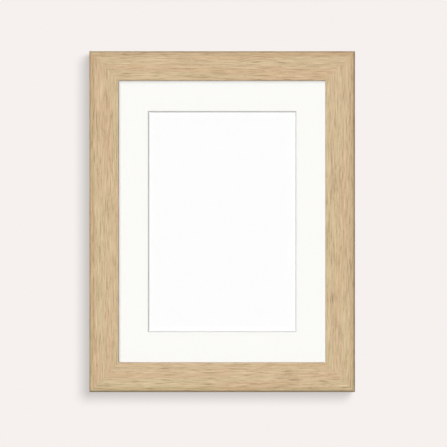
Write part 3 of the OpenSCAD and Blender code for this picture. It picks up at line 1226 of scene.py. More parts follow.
@dataclass
class Moulding:
    """The four mitred oak lengths, swept from one section by geometry nodes."""

    front_arris: float = 0.002
    sight_arris: float = 0.0007
    back_arris: float = 0.0005
    sheet_play: float = 0.0006
    face_spacing: float = 0.001
    ring_spacing: float = 0.0025
    unevenness: float = 0.00003
    wave_length: float = 0.012
    arc_steps: int = 8
    hole_play: float = 0.00003
    shifts: dict[Side, Triple] = field(
        default_factory=lambda: {
            Side.TOP: (0.11, 0.07, 0.02),
            Side.BOTTOM: (0.47, 0.31, 0.53),
            Side.LEFT: (0.83, 0.57, 0.29),
            Side.RIGHT: (0.19, 0.91, 0.71),
        }
    )

    @cached_property
    def width(self) -> float:
        """Width of the moulding's face."""
        return Extent.of("rail_bottom").size.z

    @cached_property
    def lip(self) -> float:
        """Thickness of the lip in front of the glass."""
        return Extent.of("glazing").low.y - OUTER.low.y

    @cached_property
    def back_face(self) -> float:
        """Width of the moulding's back, beside the rebate."""
        return (OUTER.size.x - Extent.of("glazing").size.x) / 2 - self.sheet_play

    def section(self) -> Mesh:
        """The outline of the section, each point with its place in it as two attributes.

        Returns:
            A ring of edges: the inset from the outer edge on X, the depth from the front on Y.
        """
        depth, width, lip = OUTER.size.y, self.width, self.lip
        front, sight, back = self.front_arris, self.sight_arris, self.back_arris
        steps = self.arc_steps
        outline = arc((front, front), front, 180, 270, steps)
        outline += evenly((front, 0.0), (width - sight, 0.0), self.face_spacing)
        outline += arc((width - sight, sight), sight, 270, 360, steps)
        outline += evenly((width, sight), (width, lip), self.face_spacing)
        outline += [(width, lip), (self.back_face, lip), (self.back_face, depth)]
        outline += arc((back, depth - back), back, 90, 180, steps // 2)
        outline += evenly((0.0, depth - back), (0.0, front), self.face_spacing)
        mesh = bpy.data.meshes.new("section")
        edges = [(i, (i + 1) % len(outline)) for i in range(len(outline))]
        mesh.from_pydata([(x, y, 0.0) for x, y in outline], edges, [])
        for axis, name in enumerate(("inset", "depth")):
            attribute = mesh.attributes.new(name, "FLOAT", "POINT")
            attribute.data.foreach_set("value", [point[axis] for point in outline])
        return mesh

    @staticmethod
    def recipe() -> Recipe:
        """A section swept along a length, mitred, sanded a little uneven, placed and drilled.

        Returns:
            The recipe.
        """
        recipe = Recipe("mitred_length")
        nodes = recipe.nodes
        length, rings = recipe.ask("Length"), recipe.ask("Rings", "Int")
        unevenness, wave = recipe.ask("Unevenness"), recipe.ask("Wave length")
        front, spot = recipe.ask("Front"), recipe.ask("Spot", "Vector")
        turn, holes = recipe.ask("Turn", "Vector"), recipe.shape("Holes")

        inputs = {"Start": (-1.0, 0.0, 0.0), "End": (1.0, 0.0, 0.0)}
        line = nodes.out("GeometryNodeCurvePrimitiveLine", inputs)
        line = nodes.out("GeometryNodeResampleCurve", {"Curve": line, "Count": rings})
        section = nodes.out("GeometryNodeMeshToCurve", {"Mesh": recipe.given})
        inputs = {"Curve": line, "Profile Curve": section, "Fill Caps": True}
        swept = nodes.out("GeometryNodeCurveToMesh", inputs)

        where = nodes.out("GeometryNodeInputPosition")
        share = nodes.out("ShaderNodeSeparateXYZ", {0: where})
        inset = nodes.attribute("inset")
        half = nodes.math("SUBTRACT", nodes.math("MULTIPLY", length, 0.5), inset)
        depth = nodes.math("ADD", nodes.attribute("depth"), front)
        inputs = {0: nodes.math("MULTIPLY", share, half), 1: depth, 2: inset}
        shaped = nodes.out("ShaderNodeCombineXYZ", inputs)
        mitred = nodes.out("GeometryNodeSetPosition", {"Geometry": swept, "Position": shaped})

        scale = nodes.math("DIVIDE", 1.0, wave)
        wobble = nodes.add("ShaderNodeTexNoise", {"Vector": where, "Scale": scale, "Detail": 1.0})
        amount = nodes.math("SUBTRACT", wobble.outputs["Fac"], 0.5)
        amount = nodes.math("MULTIPLY", amount, nodes.math("MULTIPLY", unevenness, 2.0))
        normal = nodes.out("GeometryNodeInputNormal")
        across = nodes.vector("MULTIPLY", normal, (0.0, 1.0, 1.0))
        scaled = nodes.out("ShaderNodeVectorMath", {0: across, "Scale": amount}, operation="SCALE")
        sanded = nodes.out("GeometryNodeSetPosition", {"Geometry": mitred, "Offset": scaled})

        inputs = {"Geometry": sanded, "Translation": spot, "Rotation": turn}
        placed = nodes.out("GeometryNodeTransform", inputs)
        recipe.give(nodes.cut(placed, holes))
        return recipe

    def build(self, holes: Mesh) -> None:
        """Sweeps and dresses the four lengths, which throw no light on the mat and the wall.

        Args:
            holes: The slots and holes of all the nails and screws, as closed shells.
        """
        recipe = self.recipe()
        for side, node in MEMBERS.items():
            upright = side in (Side.LEFT, Side.RIGHT)
            length = OUTER.size.z if upright else OUTER.size.x
            grain = Grain.ALONG_Z if upright else Grain.ALONG_X
            finish = Oak(f"{node}_oak", grain, self.shifts[side]).material()
            spot = place(side)
            work = Workpiece(self.section()).by(
                recipe,
                length=length,
                rings=round(length / self.ring_spacing),
                unevenness=self.unevenness,
                wave_length=self.wave_length,
                front=OUTER.low.y,
                spot=spot.translation,
                turn=spot.to_euler(),
                holes=holes,
                finish=finish,
            )
            piece = Fitting(f"{node}_moulding", node, "oak").add(work.done(), finish)
            piece.visible_diffuse = False


@dataclass
class CornerNails:
    """V-nails pressed into the backs of the mitres."""

    wing: float = 0.0045
    thickness: float = 0.0005
    height: float = 0.008
    sink: float = 0.0002
    shares: Point = (0.26, 0.6)
    edge: float = 0.00012

    def shape(self, play: float, reach: float) -> Mesh:
        """One V-nail with its bend at the origin, or the slot for it.

        Args:
            play: How much wider than the nail it is all round, for a slot.
            reach: How far it runs past the nail's back, for a slot.

        Returns:
            A closed mesh.
        """
        near, far, wing = -play, self.thickness + play, self.wing + play
        outline = [(near, near), (wing, near), (wing, far), (far, far), (far, wing), (near, wing)]
        top = OUTER.high.y - self.sink
        return prism(outline, top - self.height - play, top + reach)

    def spots(self, corner: Corner, back_face: float) -> list[Matrix]:
        """Places of the bends of one corner's nails."""
        return [place(corner, share * back_face, share * back_face) for share in self.shares]

    def slots(self, back_face: float, play: float) -> list[Mesh]:
        """The slots of all four corners."""
        slot = self.shape(play, self.sink + OVERRUN)
        return [moved(slot, spot) for corner in Corner for spot in self.spots(corner, back_face)]

    def build(self, back_face: float, hardware: Hardware) -> None:
        """Presses in two nails at each corner.

        Args:
            back_face: Width of the moulding's back.
            hardware: The plated pieces.
        """
        nail = Workpiece(self.shape(0.0, 0.0)).eased(self.edge, 1).done()
        for corner in Corner:
            node = f"v_nails_{corner.name.lower()}"
            hardware.scatter(Fitting(f"{node}_steel", node), nail, self.spots(corner, back_face))


@dataclass
class TurnButtons:
    """Six plated turn buttons, which hold the back board, and their screws."""

    quarter_share: float = 0.25
    plate_gap: float = 0.0001
    hub: float = 0.004
    tip: float = 0.003
    reach: float = 0.015
    bore: float = 0.00155
    edge: float = 0.00016
    arc_steps: int = 20
    screw: float = 0.0015
    core: float = 0.00108
    pitch: float = 0.0011
    depth: float = 0.009
    point: float = 0.003
    plain: float = 0.0012
    ridge_slope: float = 3.0
    thread_steps: int = 6
    screw_segments: int = 24
    head: DomedHead = DomedHead(0.003, 0.0016)
    head_segments: int = 40
    slot: float = 0.0008
    slot_share: float = 0.62
    slot_foot_share: float = 0.6
    spin: float = math.pi / 4
    seed: int = 7

    @cached_property
    def box(self) -> Extent:
        """Box of one packed button, for the front and the back of the plates."""
        return Extent.of("turn_button_left")

    def spots(self, back_face: float) -> dict[str, Matrix]:
        """Places of the screws.

        Args:
            back_face: Width of the moulding's back, in the middle of which they sit.

        Returns:
            The places, by the name that their button ends in.
        """
        quarter = self.quarter_share * OUTER.size.x
        places = {
            "top_left": (Side.TOP, quarter),
            "top_right": (Side.TOP, -quarter),
            "left": (Side.LEFT, 0.0),
            "right": (Side.RIGHT, 0.0),
            "bottom_left": (Side.BOTTOM, -quarter),
            "bottom_right": (Side.BOTTOM, quarter),
        }
        return {name: place(side, x, back_face / 2) for name, (side, x) in places.items()}

    def holes(self, back_face: float, play: float) -> list[Mesh]:
        """The screws' holes in the wood.

        Args:
            back_face: Width of the moulding's back.
            play: How much wider than the screws they are all round.

        Returns:
            Closed meshes.
        """
        wide, back = self.screw + play, OUTER.high.y
        profile = [(0.0, back - self.depth - play), (wide, back - self.depth + self.point)]
        hole = revolved([*profile, (wide, back + OVERRUN)], self.screw_segments)
        return [moved(hole, spot) for spot in self.spots(back_face).values()]

    def plate(self) -> Mesh:
        """A button with its hub round the origin and its tongue upwards.

        Returns:
            The finished mesh.
        """
        tongue = self.reach - self.tip
        flare = math.degrees(math.asin(self.tip / self.hub))
        outline = arc((0.0, 0.0), self.hub, 90 + flare, 450 - flare, self.arc_steps)
        outline += arc((0.0, tongue), self.tip, 0, 180, self.arc_steps // 2)
        low, high = self.box.low.y, self.box.high.y
        bore = revolved([(self.bore, low - OVERRUN), (self.bore, high + OVERRUN)])
        return Workpiece(prism(outline, low, high)).cut(bore).eased(self.edge).done()

    def crown(self, start: float) -> Mesh:
        """A screw's domed head with a cross recess, whose ends slant inwards.

        Args:
            start: Where the head stands on Y.

        Returns:
            A closed mesh.
        """
        top = start + self.head.height
        deep, over = top - self.slot, top + OVERRUN
        half = self.slot_share * self.head.radius
        foot = half * self.slot_foot_share
        right = [(foot, deep), (half, top), (half, over)]
        outline = [(-foot, deep), *right, (-half, over), (-half, top)]
        wing = prism(outline, -self.slot / 2, self.slot / 2)
        lying = Matrix.Rotation(-QUARTER, 4, "X")
        wings = [moved(wing, Matrix.Rotation(turn, 4, "Y") @ lying) for turn in (0.0, QUARTER)]
        cross = Workpiece(wings[0]).welded(wings[1]).cleaned().done()
        head = revolved([(0.0, start), *self.head.profile(start)], self.head_segments)
        return Workpiece(head).cut(cross).cleaned().done()

    def shank(self, start: float) -> Mesh:
        """A screw's pointed shank, threaded up to a short plain length under the head.

        Args:
            start: Where the head stands on Y.

        Returns:
            A closed mesh.
        """
        ridge_h = self.screw - self.core
        tip_y, thread_end = OUTER.high.y - self.depth, OUTER.high.y - self.plain

        def thread(y: float, share: float) -> float:
            """Height of the helical ridge above the core.

            Args:
                y: Where on Y.
                share: Share of the full turn.

            Returns:
                The height, which is zero beyond the thread's ends.
            """
            if y > thread_end or y <= tip_y:
                return 0.0
            phase = ((y - tip_y) / self.pitch - share) % 1.0
            taper = min(1.0, (y - tip_y) / self.point, (thread_end - y) / self.pitch)
            return ridge_h * taper * max(0.0, 1 - abs(phase - 0.5) * self.ridge_slope)

        steps = round((thread_end - tip_y) / self.pitch * self.thread_steps)
        profile = [(0.0, tip_y)]
        for i in range(1, steps + 1):
            y = tip_y + (thread_end - tip_y) * i / steps
            profile.append((self.core * min(1.0, (y - tip_y) / self.point), y))
        profile += [(self.screw, thread_end + ridge_h), (self.screw, start + ridge_h)]
        return revolved(profile, self.screw_segments, thread)

    def build(self, back_face: float, hardware: Hardware) -> None:
        """Screws on the six buttons.

        Args:
            back_face: Width of the moulding's back.
            hardware: The plated pieces.
        """
        spots = self.spots(back_face)
        plate = self.plate()
        for name, spot in spots.items():
            body = f"button_{name}"
            fitting = Fitting(f"{body}_plate", f"turn_button_{name}", body=body)
            hardware.fit(fitting, moved(plate, spot))
        start = self.box.high.y + self.plate_gap
        screw = joined(self.crown(start), self.shank(start))
        fitting = Fitting("button_screws_steel", "turn_button_screws")
        hardware.scatter(fitting, screw, list(spots.values()), self.spin, self.seed)


@dataclass
class FramedSheets:
    """Glass, window mat, print on its tapes, and the card behind them."""

    glass_edge: float = 0.0003
    side_overlap: float = 0.0016
    end_overlap: float = 0.0024
    mat_edge: float = 0.00004
    bevel_w: float = 0.0009
    face_tilt: float = 0.9
    float_glass: ClearGlass = ClearGlass("float_glass")
    mat_face: Board = Board("mat_face", (0.985, 0.98, 0.95), (0.965, 0.96, 0.928))
    # core tone darker than the face: partly its own tone, partly painted shade on the bevel
    mat_core: Board = Board(
        "mat_core", (0.73, 0.73, 0.72), (0.67, 0.67, 0.66), tooth_depth=0.00003
    )
    photo_paper: Board = Board(
        "photo_paper",
        (0.995, 0.995, 0.995),
        (0.98, 0.98, 0.98),
        tooth_depth=0.000004,
        gloss=(0.5, 0.42),
        shine=0.35,
    )
    gummed_tape: Board = Board(
        "gummed_tape",
        (0.80, 0.76, 0.64),
        (0.66, 0.61, 0.48),
        fleck_tone=0.6,
        tooth=0.0012,
        tooth_depth=0.00002,
    )
    card_grey: Board = Board(
        "backing_card_grey",
        (0.50, 0.49, 0.46),
        (0.30, 0.29, 0.27),
        fleck_tone=0.8,
        tooth=0.0009,
        tooth_depth=0.00004,
    )

    def glass(self) -> None:
        """The pane, with its edges ground, a hair off the mat."""
        box = Extent.of("glazing")
        high = box.high - Vector((0.0, HAIR, 0.0))
        mesh = Workpiece(block(box.low, high)).eased(self.glass_edge).done()
        fitting = Fitting("glass_pane", "glazing", "glass")
        fitting.add(mesh, self.float_glass.material())

    def mat(self) -> None:
        """The mat, whose window is cut at a slant so that its core shows, toned darker than the
        face: partly the core's own tone, partly painted shade of the bevel.
        """
        box, paper = Extent.of("window_mat"), Extent.of("print_sheet")
        inset = (box.size.y - self.bevel_w) / 2
        half_w = paper.size.x / 2 - self.side_overlap + inset
        half_h = paper.size.z / 2 - self.end_overlap + inset
        loops = (
            (box.size.x / 2, box.size.z / 2, box.low.y),
            (half_w + self.bevel_w, half_h + self.bevel_w, box.low.y),
            (half_w, half_h, box.high.y),
            (box.size.x / 2, box.size.z / 2, box.high.y),
        )
        signs = ((-1, -1), (1, -1), (1, 1), (-1, 1))
        middle = box.middle
        points = [(middle.x + i * w, y, middle.z + j * h) for w, h, y in loops for i, j in signs]
        faces = []
        for loop in range(4):
            near, far = 4 * loop, 4 * ((loop + 1) % 4)
            faces += [(near + i, near + (i + 1) % 4, far + (i + 1) % 4, far + i) for i in range(4)]
        mesh = Workpiece(mesh_of(points, faces)).eased(self.mat_edge, 1).done()
        fitting = Fitting("mat_board", "window_mat", "mat_board")
        piece = fitting.add(mesh, self.mat_face.material(), self.mat_core.material())
        for polygon in piece.data.polygons:
            polygon.material_index = int(polygon.normal.y > -self.face_tilt)

    def paper(self) -> None:
        """The blank print, a hair behind the mat."""
        box = Extent.of("print_sheet")
        low = box.low + Vector((0.0, HAIR, 0.0))
        mesh = Workpiece(block(low, box.high)).eased(self.mat_edge, 1).done()
        fitting = Fitting("blank_print", "print_sheet", "photo_paper")
        fitting.add(mesh, self.photo_paper.material())

    def build(self) -> None:
        """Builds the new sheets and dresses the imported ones."""
        self.glass()
        self.mat()
        self.paper()
        dress("print_tapes", self.gummed_tape.material())
        dress("backing_card", self.card_grey.material())


@dataclass
class HardboardSheets:
    """The back board and the strut, sawn from brown fibreboard."""

    board_edge: float = 0.00025
    strut_edge: float = 0.0004
    strut_edge_steps: int = 3
    strut_top: float = 0.036
    strut_corner: float = 0.003
    board_finish: Hardboard = Hardboard("hardboard_back")
    strut_finish: Hardboard = Hardboard(
        "hardboard_strut",
        shift=(0.37, 0.11, 0.23),
        body=(0.26, 0.152, 0.08),
        pale=(0.30, 0.18, 0.10),
    )

    def board(self) -> None:
        """The back board."""
        box = Extent.of("back_board")
        mesh = Workpiece(block(box.low, box.high)).eased(self.board_edge).done()
        fitting = Fitting("back_board_sheet", "back_board", "fibreboard")
        fitting.add(mesh, self.board_finish.material())

    def strut(self) -> None:
        """The strut, which tapers up to the hinge and has its corners cut."""
        box = Extent.of("strut")
        half_foot, half_top, cut = box.size.x / 2, self.strut_top / 2, self.strut_corner
        low, high = box.low.z, box.high.z
        foot = [(half_foot - cut, low), (half_foot, low + cut)]
        right = [*foot, (half_top, high - cut), (half_top - cut, high)]
        outline = right + [(-x, z) for x, z in reversed(right)]
        work = Workpiece(prism(outline, box.low.y, box.high.y))
        mesh = work.eased(self.strut_edge, self.strut_edge_steps).done()
        fitting = Fitting("strut_sheet", "strut", "fibreboard", "strut")
        fitting.add(mesh, self.strut_finish.material())

    def build(self) -> None:
        """Saws, eases and dresses both."""
        self.board()
        self.strut()


@dataclass
class StrutHinge:
    """Two leaves of bent plate on a pin, riveted to the board and to the strut."""

    leaf: float = 0.0008
    clear: float = 0.0003
    strut_knuckle: float = 0.009
    board_knuckle: float = 0.006
    heel: float = 0.0035
    curl: float = 300.0
    curl_steps: int = 20
    joggle: float = 0.0024
    corner: float = 0.0016
    edge: float = 0.00014
    pin_head: float = 0.0005
    pin_edge: float = 0.0001
    pin_play: float = 0.0001
    pin_flat_share: float = 0.8
    rivet: float = 0.0012
    rivet_head: DomedHead = DomedHead(0.0024, 0.0007)
    rivet_flare: float = 0.0008
    rivet_spacing: float = 0.018
    rivet_edge: float = 0.006

    @cached_property
    def pin(self) -> Extent:
        """Box of the pin."""
        return Extent.of("strut_hinge_pin")

    @cached_property
    def strut_leaf(self) -> Extent:
        """Box of the strut's leaf."""
        return Extent.of("strut_hinge_strut_leaf")

    @cached_property
    def board_leaf(self) -> Extent:
        """Box of the board's leaf."""
        return Extent.of("strut_hinge_board_leaf")

    @cached_property
    def knuckle(self) -> float:
        """Outer radius of the knuckles."""
        return self.strut_leaf.high.y - self.pin.middle.y

    def curled(self, start: Point, first: float) -> list[Point]:
        """The middle line of a leaf's plate in Y and Z, from its far end round the pin.

        Args:
            start: The line's first point.
            first: Angle round the pin at which the line meets the curl, in degrees.

        Returns:
            The points in order.
        """
        middle = self.pin.middle
        radius = self.knuckle - self.leaf / 2
        round_pin = arc((middle.y, middle.z), radius, first, first + self.curl, self.curl_steps)
        joggle = (start[0], middle.z + math.copysign(self.joggle, start[1] - middle.z))
        return [start, joggle, *round_pin]

    def bent(self, line: Sequence[Point], left: float, length: float) -> Mesh:
        """A strip of plate.

        Args:
            line: Its middle line in Y and Z.
            left: Where it starts on X.
            length: How long it is on X.

        Returns:
            A closed mesh.
        """
        near, far = ([(x, y, z) for y, z in line] for x in (left, left + length))
        return Workpiece(ribbon(near, far)).thickened(self.leaf).done()

    def flat(self, box: Extent, near: float, far: float, back: float) -> Mesh:
        """The flat of a leaf, with cut corners at its far edge.

        Args:
            box: The leaf's box.
            near: Height of its edge at the pin.
            far: Height of its other edge.
            back: Its back on Y.

        Returns:
            A closed mesh.
        """
        half, cut = box.size.x / 2, self.corner
        foot = far + math.copysign(cut, near - far)
        outline = [(-half, near), (-half, foot), (-half + cut, far), (half - cut, far)]
        return prism([*outline, (half, foot), (half, near)], back - self.leaf, back)

    def welded(self, parts: Sequence[Mesh]) -> Mesh:
        """The strips and flats of one leaf made one plate with eased edges.

        Args:
            parts: Closed meshes that overlap.

        Returns:
            The finished mesh.
        """
        work = Workpiece(parts[0])
        for part in parts[1:]:
            work.welded(part)
        return work.eased(self.edge).done()

    def strut_plate(self) -> Mesh:
        """The strut's leaf: its flat, one knuckle in the middle, and a heel at each side.

        Returns:
            The finished mesh.
        """
        box, strut_top = self.strut_leaf, Extent.of("strut").high.z
        back, foot = box.high.y, strut_top - self.leaf
        line = self.curled((back - self.leaf / 2, foot), 0.0)
        parts = [self.flat(box, strut_top, box.low.z, back)]
        parts.append(self.bent(line, -self.strut_knuckle / 2, self.strut_knuckle))
        outer = box.size.x / 2
        for x in (-outer, outer - self.heel):
            parts.append(block((x, back - self.leaf, foot), (x + self.heel, back, box.high.z)))
        return self.welded(parts)

    def board_plate(self) -> Mesh:
        """The board's leaf: its flat, and a knuckle on each side of the strut's one.

        Returns:
            The finished mesh.
        """
        box, foot = self.board_leaf, self.pin.middle.z + self.knuckle + self.clear
        line = self.curled((box.low.y + self.leaf / 2, foot + self.leaf), 180.0)
        parts = [self.flat(box, foot, box.high.z, box.low.y + self.leaf)]
        first = self.strut_knuckle / 2 + self.clear
        for left in (-first - self.board_knuckle, first):
            parts.append(self.bent(line, left, self.board_knuckle))
        return self.welded(parts)

    def pin_mesh(self) -> Mesh:
        """The pin, with a low head at each end.

        Returns:
            A closed mesh, in its place.
        """
        head = self.knuckle - self.leaf / 2
        shaft = self.knuckle - self.leaf - self.pin_play
        end = self.pin.size.x / 2
        neck, edge, flat = end - self.pin_head, end - self.pin_edge, head * self.pin_flat_share
        half = [(shaft, neck), (head, neck), (head, edge), (flat, end), (0.0, end)]
        profile = [(radius, -y) for radius, y in reversed(half)] + half
        across = Matrix.Translation(self.pin.middle) @ Matrix.Rotation(-QUARTER, 4, "Z")
        return moved(revolved(profile), across)

    def rivets(self, node: str, body: str, sheet: str, z: float, hardware: Hardware) -> None:
        """Two domed rivets through a leaf and its board.

        Args:
            node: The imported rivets.
            body: The body that they ride on.
            sheet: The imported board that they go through.
            z: Their height.
            hardware: The plated pieces.
        """
        front, head_y = Extent.of(sheet).low.y, Extent.of(node).high.y - self.rivet_head.height
        flare, neck = self.rivet + self.rivet_flare, front + self.rivet_flare
        profile = [(0.0, front), (flare, front), (self.rivet, neck), (self.rivet, head_y)]
        rivet = revolved(profile + self.rivet_head.profile(head_y))
        half = self.rivet_spacing / 2
        spots = [Matrix.Translation((x, 0.0, z)) for x in (-half, half)]
        hardware.scatter(Fitting(f"{node}_steel", node, body=body), rivet, spots)

    def build(self, hardware: Hardware) -> None:
        """Leaves, pin and rivets.

        Args:
            hardware: The plated pieces.
        """
        fitting = Fitting("strut_leaf_plate", "strut_hinge_strut_leaf", body="strut")
        hardware.fit(fitting, self.strut_plate())
        hardware.fit(Fitting("board_leaf_plate", "strut_hinge_board_leaf"), self.board_plate())
        hardware.fit(Fitting("hinge_pin_steel", "strut_hinge_pin"), self.pin_mesh())
        high = self.board_leaf.high.z - self.rivet_edge
        self.rivets("board_leaf_rivets", "frame", "back_board", high, hardware)
        low = self.strut_leaf.low.z + self.rivet_edge
        self.rivets("strut_leaf_rivets", "strut", "strut", low, hardware)


@dataclass
class SawtoothHanger:
    """A bent strip with a notched lower edge, nailed to the top rail."""

    thickness: float = 0.0008
    raised: float = 0.026
    slope: float = 0.002
    notches: int = 9
    notch_share: float = 0.8
    notch_h: float = 0.0018
    corner: float = 0.0012
    corner_steps: int = 6
    edge: float = 0.00012
    nail: float = 0.0007
    nail_depth: float = 0.009
    nail_point: float = 0.0015
    nail_head: DomedHead = DomedHead(0.0016, 0.0007)
    nail_segments: int = 24
    hole_segments: int = 20

    @cached_property
    def box(self) -> Extent:
        """Box of the strip."""
        return Extent.of("sawtooth_hanger")

    def spots(self) -> list[Matrix]:
        """Places of the two nails."""
        x = (self.raised / 2 + self.slope + self.box.size.x / 2) / 2
        return [Matrix.Translation((side * x, 0.0, self.box.middle.z)) for side in (-1, 1)]

    def nail_profile(self, play: float, reach: float) -> list[Point]:
        """A nail's shank, or the hole for it.

        Args:
            play: How much wider than the nail it is all round, for a hole.
            reach: How far behind the wood it ends.

        Returns:
            Pairs of radius and Y.
        """
        back, wide = OUTER.high.y, self.nail + play
        tip = back - self.nail_depth
        return [(0.0, tip - play), (wide, tip + self.nail_point), (wide, back + reach)]

    def holes(self, play: float) -> list[Mesh]:
        """The nails' holes in the wood."""
        hole = revolved(self.nail_profile(play, OVERRUN), self.hole_segments)
        return [moved(hole, spot) for spot in self.spots()]

    def strip(self) -> Mesh:
        """The bent strip with rounded corners, before it is notched.

        Returns:
            A closed mesh.
        """
        end, rise = self.box.size.x / 2, self.raised / 2
        low, high = self.box.low.y, self.box.high.y - self.thickness
        half = [(end, low), (rise + self.slope, low), (rise, high)]
        middle = self.thickness / 2
        line = [(-x, y + middle) for x, y in half] + [(x, y + middle) for x, y in reversed(half)]
        bottom, top = ([(x, y, z) for x, y in line] for z in (self.box.low.z, self.box.high.z))
        work = Workpiece(ribbon(bottom, top)).thickened(self.thickness)
        half_h, r = self.box.size.z / 2, self.corner
        outline = []
        corners = ((end, -half_h), (end, half_h), (-end, half_h), (-end, -half_h))
        for (x, z), start in zip(corners, (270, 0, 90, 180)):
            centre = (x - math.copysign(r, x), self.box.middle.z + z - math.copysign(r, z))
            outline += arc(centre, r, start, start + 90, self.corner_steps)
        return work.trimmed(prism(outline, low - OVERRUN, self.box.high.y + OVERRUN)).done()

    @staticmethod
    def recipe() -> Recipe:
        """Notches, one pitch apart, cut into the edge of a strip.

        Returns:
            The recipe.
        """
        recipe = Recipe("notched_edge")
        nodes = recipe.nodes
        count, pitch = recipe.ask("Count", "Int"), recipe.ask("Pitch")
        first, notch = recipe.ask("First", "Vector"), recipe.shape("Notch")
        step = nodes.out("ShaderNodeCombineXYZ", {0: pitch})
        inputs = {"Count": count, "Start Location": first, "Offset": step}
        row = nodes.out("GeometryNodeMeshLine", inputs, mode="OFFSET")
        wastes = recipe.real(recipe.copies(row, notch))
        recipe.give(nodes.cut(recipe.given, wastes))
        return recipe

    def notched(self, strip: Mesh, finish: Material) -> Workpiece:
        """Cuts the row of notches.

        Args:
            strip: The plain strip.
            finish: Its finish.

        Returns:
            The strip, still on the bench.
        """
        pitch = self.raised / self.notches
        half = pitch * self.notch_share / 2
        foot = [(-half, -OVERRUN), (half, -OVERRUN)]
        outline = [*foot, (half, 0.0), (0.0, self.notch_h), (-half, 0.0)]
        notch = prism(outline, self.box.low.y, self.box.high.y + OVERRUN)
        first = Vector(((pitch - self.raised) / 2, 0.0, self.box.low.z))
        inputs = {"count": self.notches, "pitch": pitch, "first": first, "notch": notch}
        return Workpiece(strip).by(self.recipe(), **inputs, finish=finish)

    def build(self, hardware: Hardware) -> None:
        """Strip and nails.

        Args:
            hardware: The plated pieces.
        """
        work = self.notched(self.strip(), hardware.finish)
        low, high = self.box.low.y, self.box.high.y
        for spot in self.spots():
            hole = revolved([(self.nail, low - OVERRUN), (self.nail, high)], self.hole_segments)
            work.cut(moved(hole, spot))
        mesh = work.eased(self.edge, 1).done()
        hardware.fit(Fitting("sawtooth_strip", "sawtooth_hanger"), mesh)

        profile = self.nail_profile(0.0, self.thickness)
        profile += self.nail_head.profile(low + self.thickness)
        nail = revolved(profile, self.nail_segments)
        hardware.scatter(Fitting("hanger_nails_steel", "hanger_nails"), nail, self.spots())


@dataclass
class WallPads:
    """Two soft rubber buttons at the bottom of the back."""

    face: float = 0.0043
    round_edge: float = 0.0009
    round_from: float = 5.0
    foot_edge: float = 0.0003
    arc_steps: int = 6
    segments: int = 48
    rubber: Rubber = Rubber("pad_rubber")

    def build(self) -> None:
        """Moulds and places both."""
        finish = self.rubber.material()
        for side in ("left", "right"):
            node = f"wall_pad_{side}"
            box = Extent.of(node)
            foot, r = box.size.x / 2, self.round_edge
            low, high = box.low.y, box.high.y
            profile = [(0.0, low), (foot - self.foot_edge, low), (foot, low + self.foot_edge)]
            centre = (self.face - r, high - r)
            profile += arc(centre, r, self.round_from, 90, self.arc_steps)
            pad = revolved([*profile, (0.0, high)], self.segments)
            spot = Matrix.Translation((box.middle.x, 0.0, box.middle.z))
            Fitting(f"{node}_rubber", node, "rubber").add(moved(pad, spot), finish)


@dataclass(frozen=True)
class Lamp:
    """A far lamp, as wide in the sky as its spread says, in degrees.

    Level is the brightness that it alone gives to a white face square to it. A lamp that shines
    shows in what mirrors it, and one that is shaded by a group is held back by nothing else.
    """

    name: str
    travels: Triple
    level: float
    spread: float
    lights: Receiver = Receiver.OBJECT
    shines: bool = True
    shaded_by: Receiver | None = None

    def add(self, groups: dict[Receiver, bpy.types.Collection]) -> None:
        """Hangs the lamp.

        Args:
            groups: The pieces of each group that a lamp may light.
        """
        data = bpy.data.lights.new(self.name, "SUN")
        data.energy = self.level * math.pi
        data.angle = math.radians(self.spread)
        lamp = in_scene(self.name, data)
        travels = Vector(self.travels).normalized()
        lamp.rotation_euler = travels.to_track_quat("-Z", "Y").to_euler()
        lamp.visible_glossy = self.shines
        lamp.light_linking.receiver_collection = groups[self.lights]
        if self.shaded_by:
            lamp.light_linking.blocker_collection = groups[self.shaded_by]


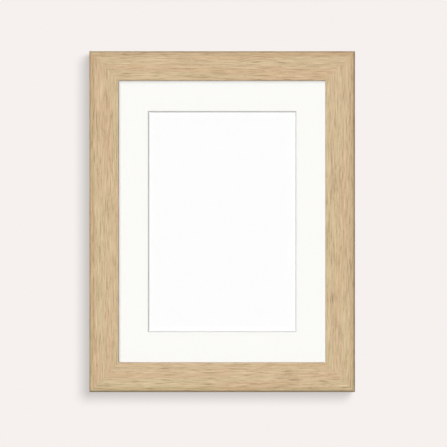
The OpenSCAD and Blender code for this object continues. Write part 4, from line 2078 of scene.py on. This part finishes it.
@dataclass
class Studio:
    """Camera, pale wall, world and lamps.

    The photograph's width and scale, and the pixel where the frame's middle lies in it, aim the
    camera.
    """

    photo_px: int = 447
    metres_per_px: float = 0.0006757
    middle_px: Point = (222.15, 221.6)
    distance: float = 3.0
    sensor_mm: float = 36.0
    wall_half: float = 4.0
    pale: Colour = (0.922, 0.880, 0.856)
    sheets: tuple[str, ...] = ("mat_board", "blank_print")
    lamps: tuple[Lamp, ...] = (
        Lamp("key", (0.0, 1.0, 0.0), 0.40, 3.0, shines=False),
        Lamp("upper_left", (0.10, 1.0, -0.15), 0.253, 14.0, shines=False),
        Lamp("raking", (0.55, 0.6, -0.55), 0.295, 10.0, shines=False, shaded_by=Receiver.SHEETS),
        Lamp("front_fill", (0.0, 1.0, 0.0), 0.13, 60.0, shines=False),
        Lamp("back_left", (1.0, -0.7, -0.4), 0.50, 40.0, shines=False),
        Lamp("back_right", (-1.0, -0.9, -0.3), 0.46, 40.0, shines=False),
        Lamp("back_above", (0.0, -0.7, -1.0), 0.18, 60.0, shines=False),
        Lamp("back_glint", (0.35, -1.0, -0.75), 0.11, 40.0),
        Lamp("back_dome", (0.0, -1.0, -0.1), 0.24, 130.0),
        Lamp("wall_cast", (-0.32, 1.0, -0.30), 3.25, 28.0, Receiver.WALL),
    )

    def build(self, pieces: Sequence[bpy.types.Object]) -> None:
        """Sets up the whole studio.

        Args:
            pieces: Every shown piece of the part.
        """
        bpy.context.scene.view_settings.view_transform = "Standard"
        groups = {kind: bpy.data.collections.new(kind.value) for kind in Receiver}
        for piece in pieces:
            groups[Receiver.OBJECT].objects.link(piece)
            if piece.name in self.sheets:
                groups[Receiver.SHEETS].objects.link(piece)
        groups[Receiver.WALL].objects.link(self.wall())
        for lamp in self.lamps:
            lamp.add(groups)
        self.world()
        self.camera()

    def camera(self) -> None:
        """A long lens square to the frame, aimed as the photograph is."""
        data = bpy.data.cameras.new("camera")
        data.sensor_width = self.sensor_mm
        data.lens = self.sensor_mm * self.distance / (self.photo_px * self.metres_per_px)
        right, down = ((self.photo_px / 2 - px) * self.metres_per_px for px in self.middle_px)
        middle = OUTER.middle
        camera = in_scene("camera", data)
        camera.location = (middle.x + right, OUTER.low.y - self.distance, middle.z - down)
        camera.rotation_euler = (QUARTER, 0.0, 0.0)
        bpy.context.scene.camera = camera

    def wall(self) -> bpy.types.Object:
        """A plain wall against the pads, which is clear from behind and holds no light back.

        Returns:
            The wall.
        """
        y = Extent.of("wall_pad_left").high.y + HAIR
        reach = self.wall_half
        corners = [(-reach, y, -reach), (reach, y, -reach), (reach, y, reach), (-reach, y, reach)]
        mesh = bpy.data.meshes.new("wall")
        mesh.from_pydata(corners, [], [(0, 1, 2, 3)])
        mesh.materials.append(WallPaint("wall_paint", self.pale).material())
        wall = in_scene("wall", mesh)
        for ray in ("diffuse", "glossy", "transmission", "shadow"):
            setattr(wall, f"visible_{ray}", False)
        wall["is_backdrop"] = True
        return wall

    def world(self) -> None:
        """The wall's pale colour all round, for sight and for reflections only."""
        world = bpy.data.worlds.new("studio")
        nodes = Nodes.of(world)
        path = nodes.add("ShaderNodeLightPath").outputs
        seen = nodes.math("MAXIMUM", path["Is Camera Ray"], path["Is Glossy Ray"])
        seen = nodes.math("MAXIMUM", seen, path["Is Transmission Ray"])
        inputs = {"Color": (*self.pale, 1.0), "Strength": seen}
        nodes.add("ShaderNodeOutputWorld", {"Surface": nodes.out("ShaderNodeBackground", inputs)})
        bpy.context.scene.world = world


def main() -> None:
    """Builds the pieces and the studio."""
    logging.basicConfig(level=logging.INFO, format="%(name)s: %(message)s")
    hardware = Hardware()
    moulding, nails, buttons, hanger = Moulding(), CornerNails(), TurnButtons(), SawtoothHanger()
    back_face, play = moulding.back_face, moulding.hole_play
    holes = nails.slots(back_face, play) + buttons.holes(back_face, play) + hanger.holes(play)
    moulding.build(joined(*holes))
    nails.build(back_face, hardware)
    FramedSheets().build()
    HardboardSheets().build()
    buttons.build(back_face, hardware)
    StrutHinge().build(hardware)
    hanger.build(hardware)
    WallPads().build()
    Studio().build(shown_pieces())


if __name__ == "__main__":
    main()
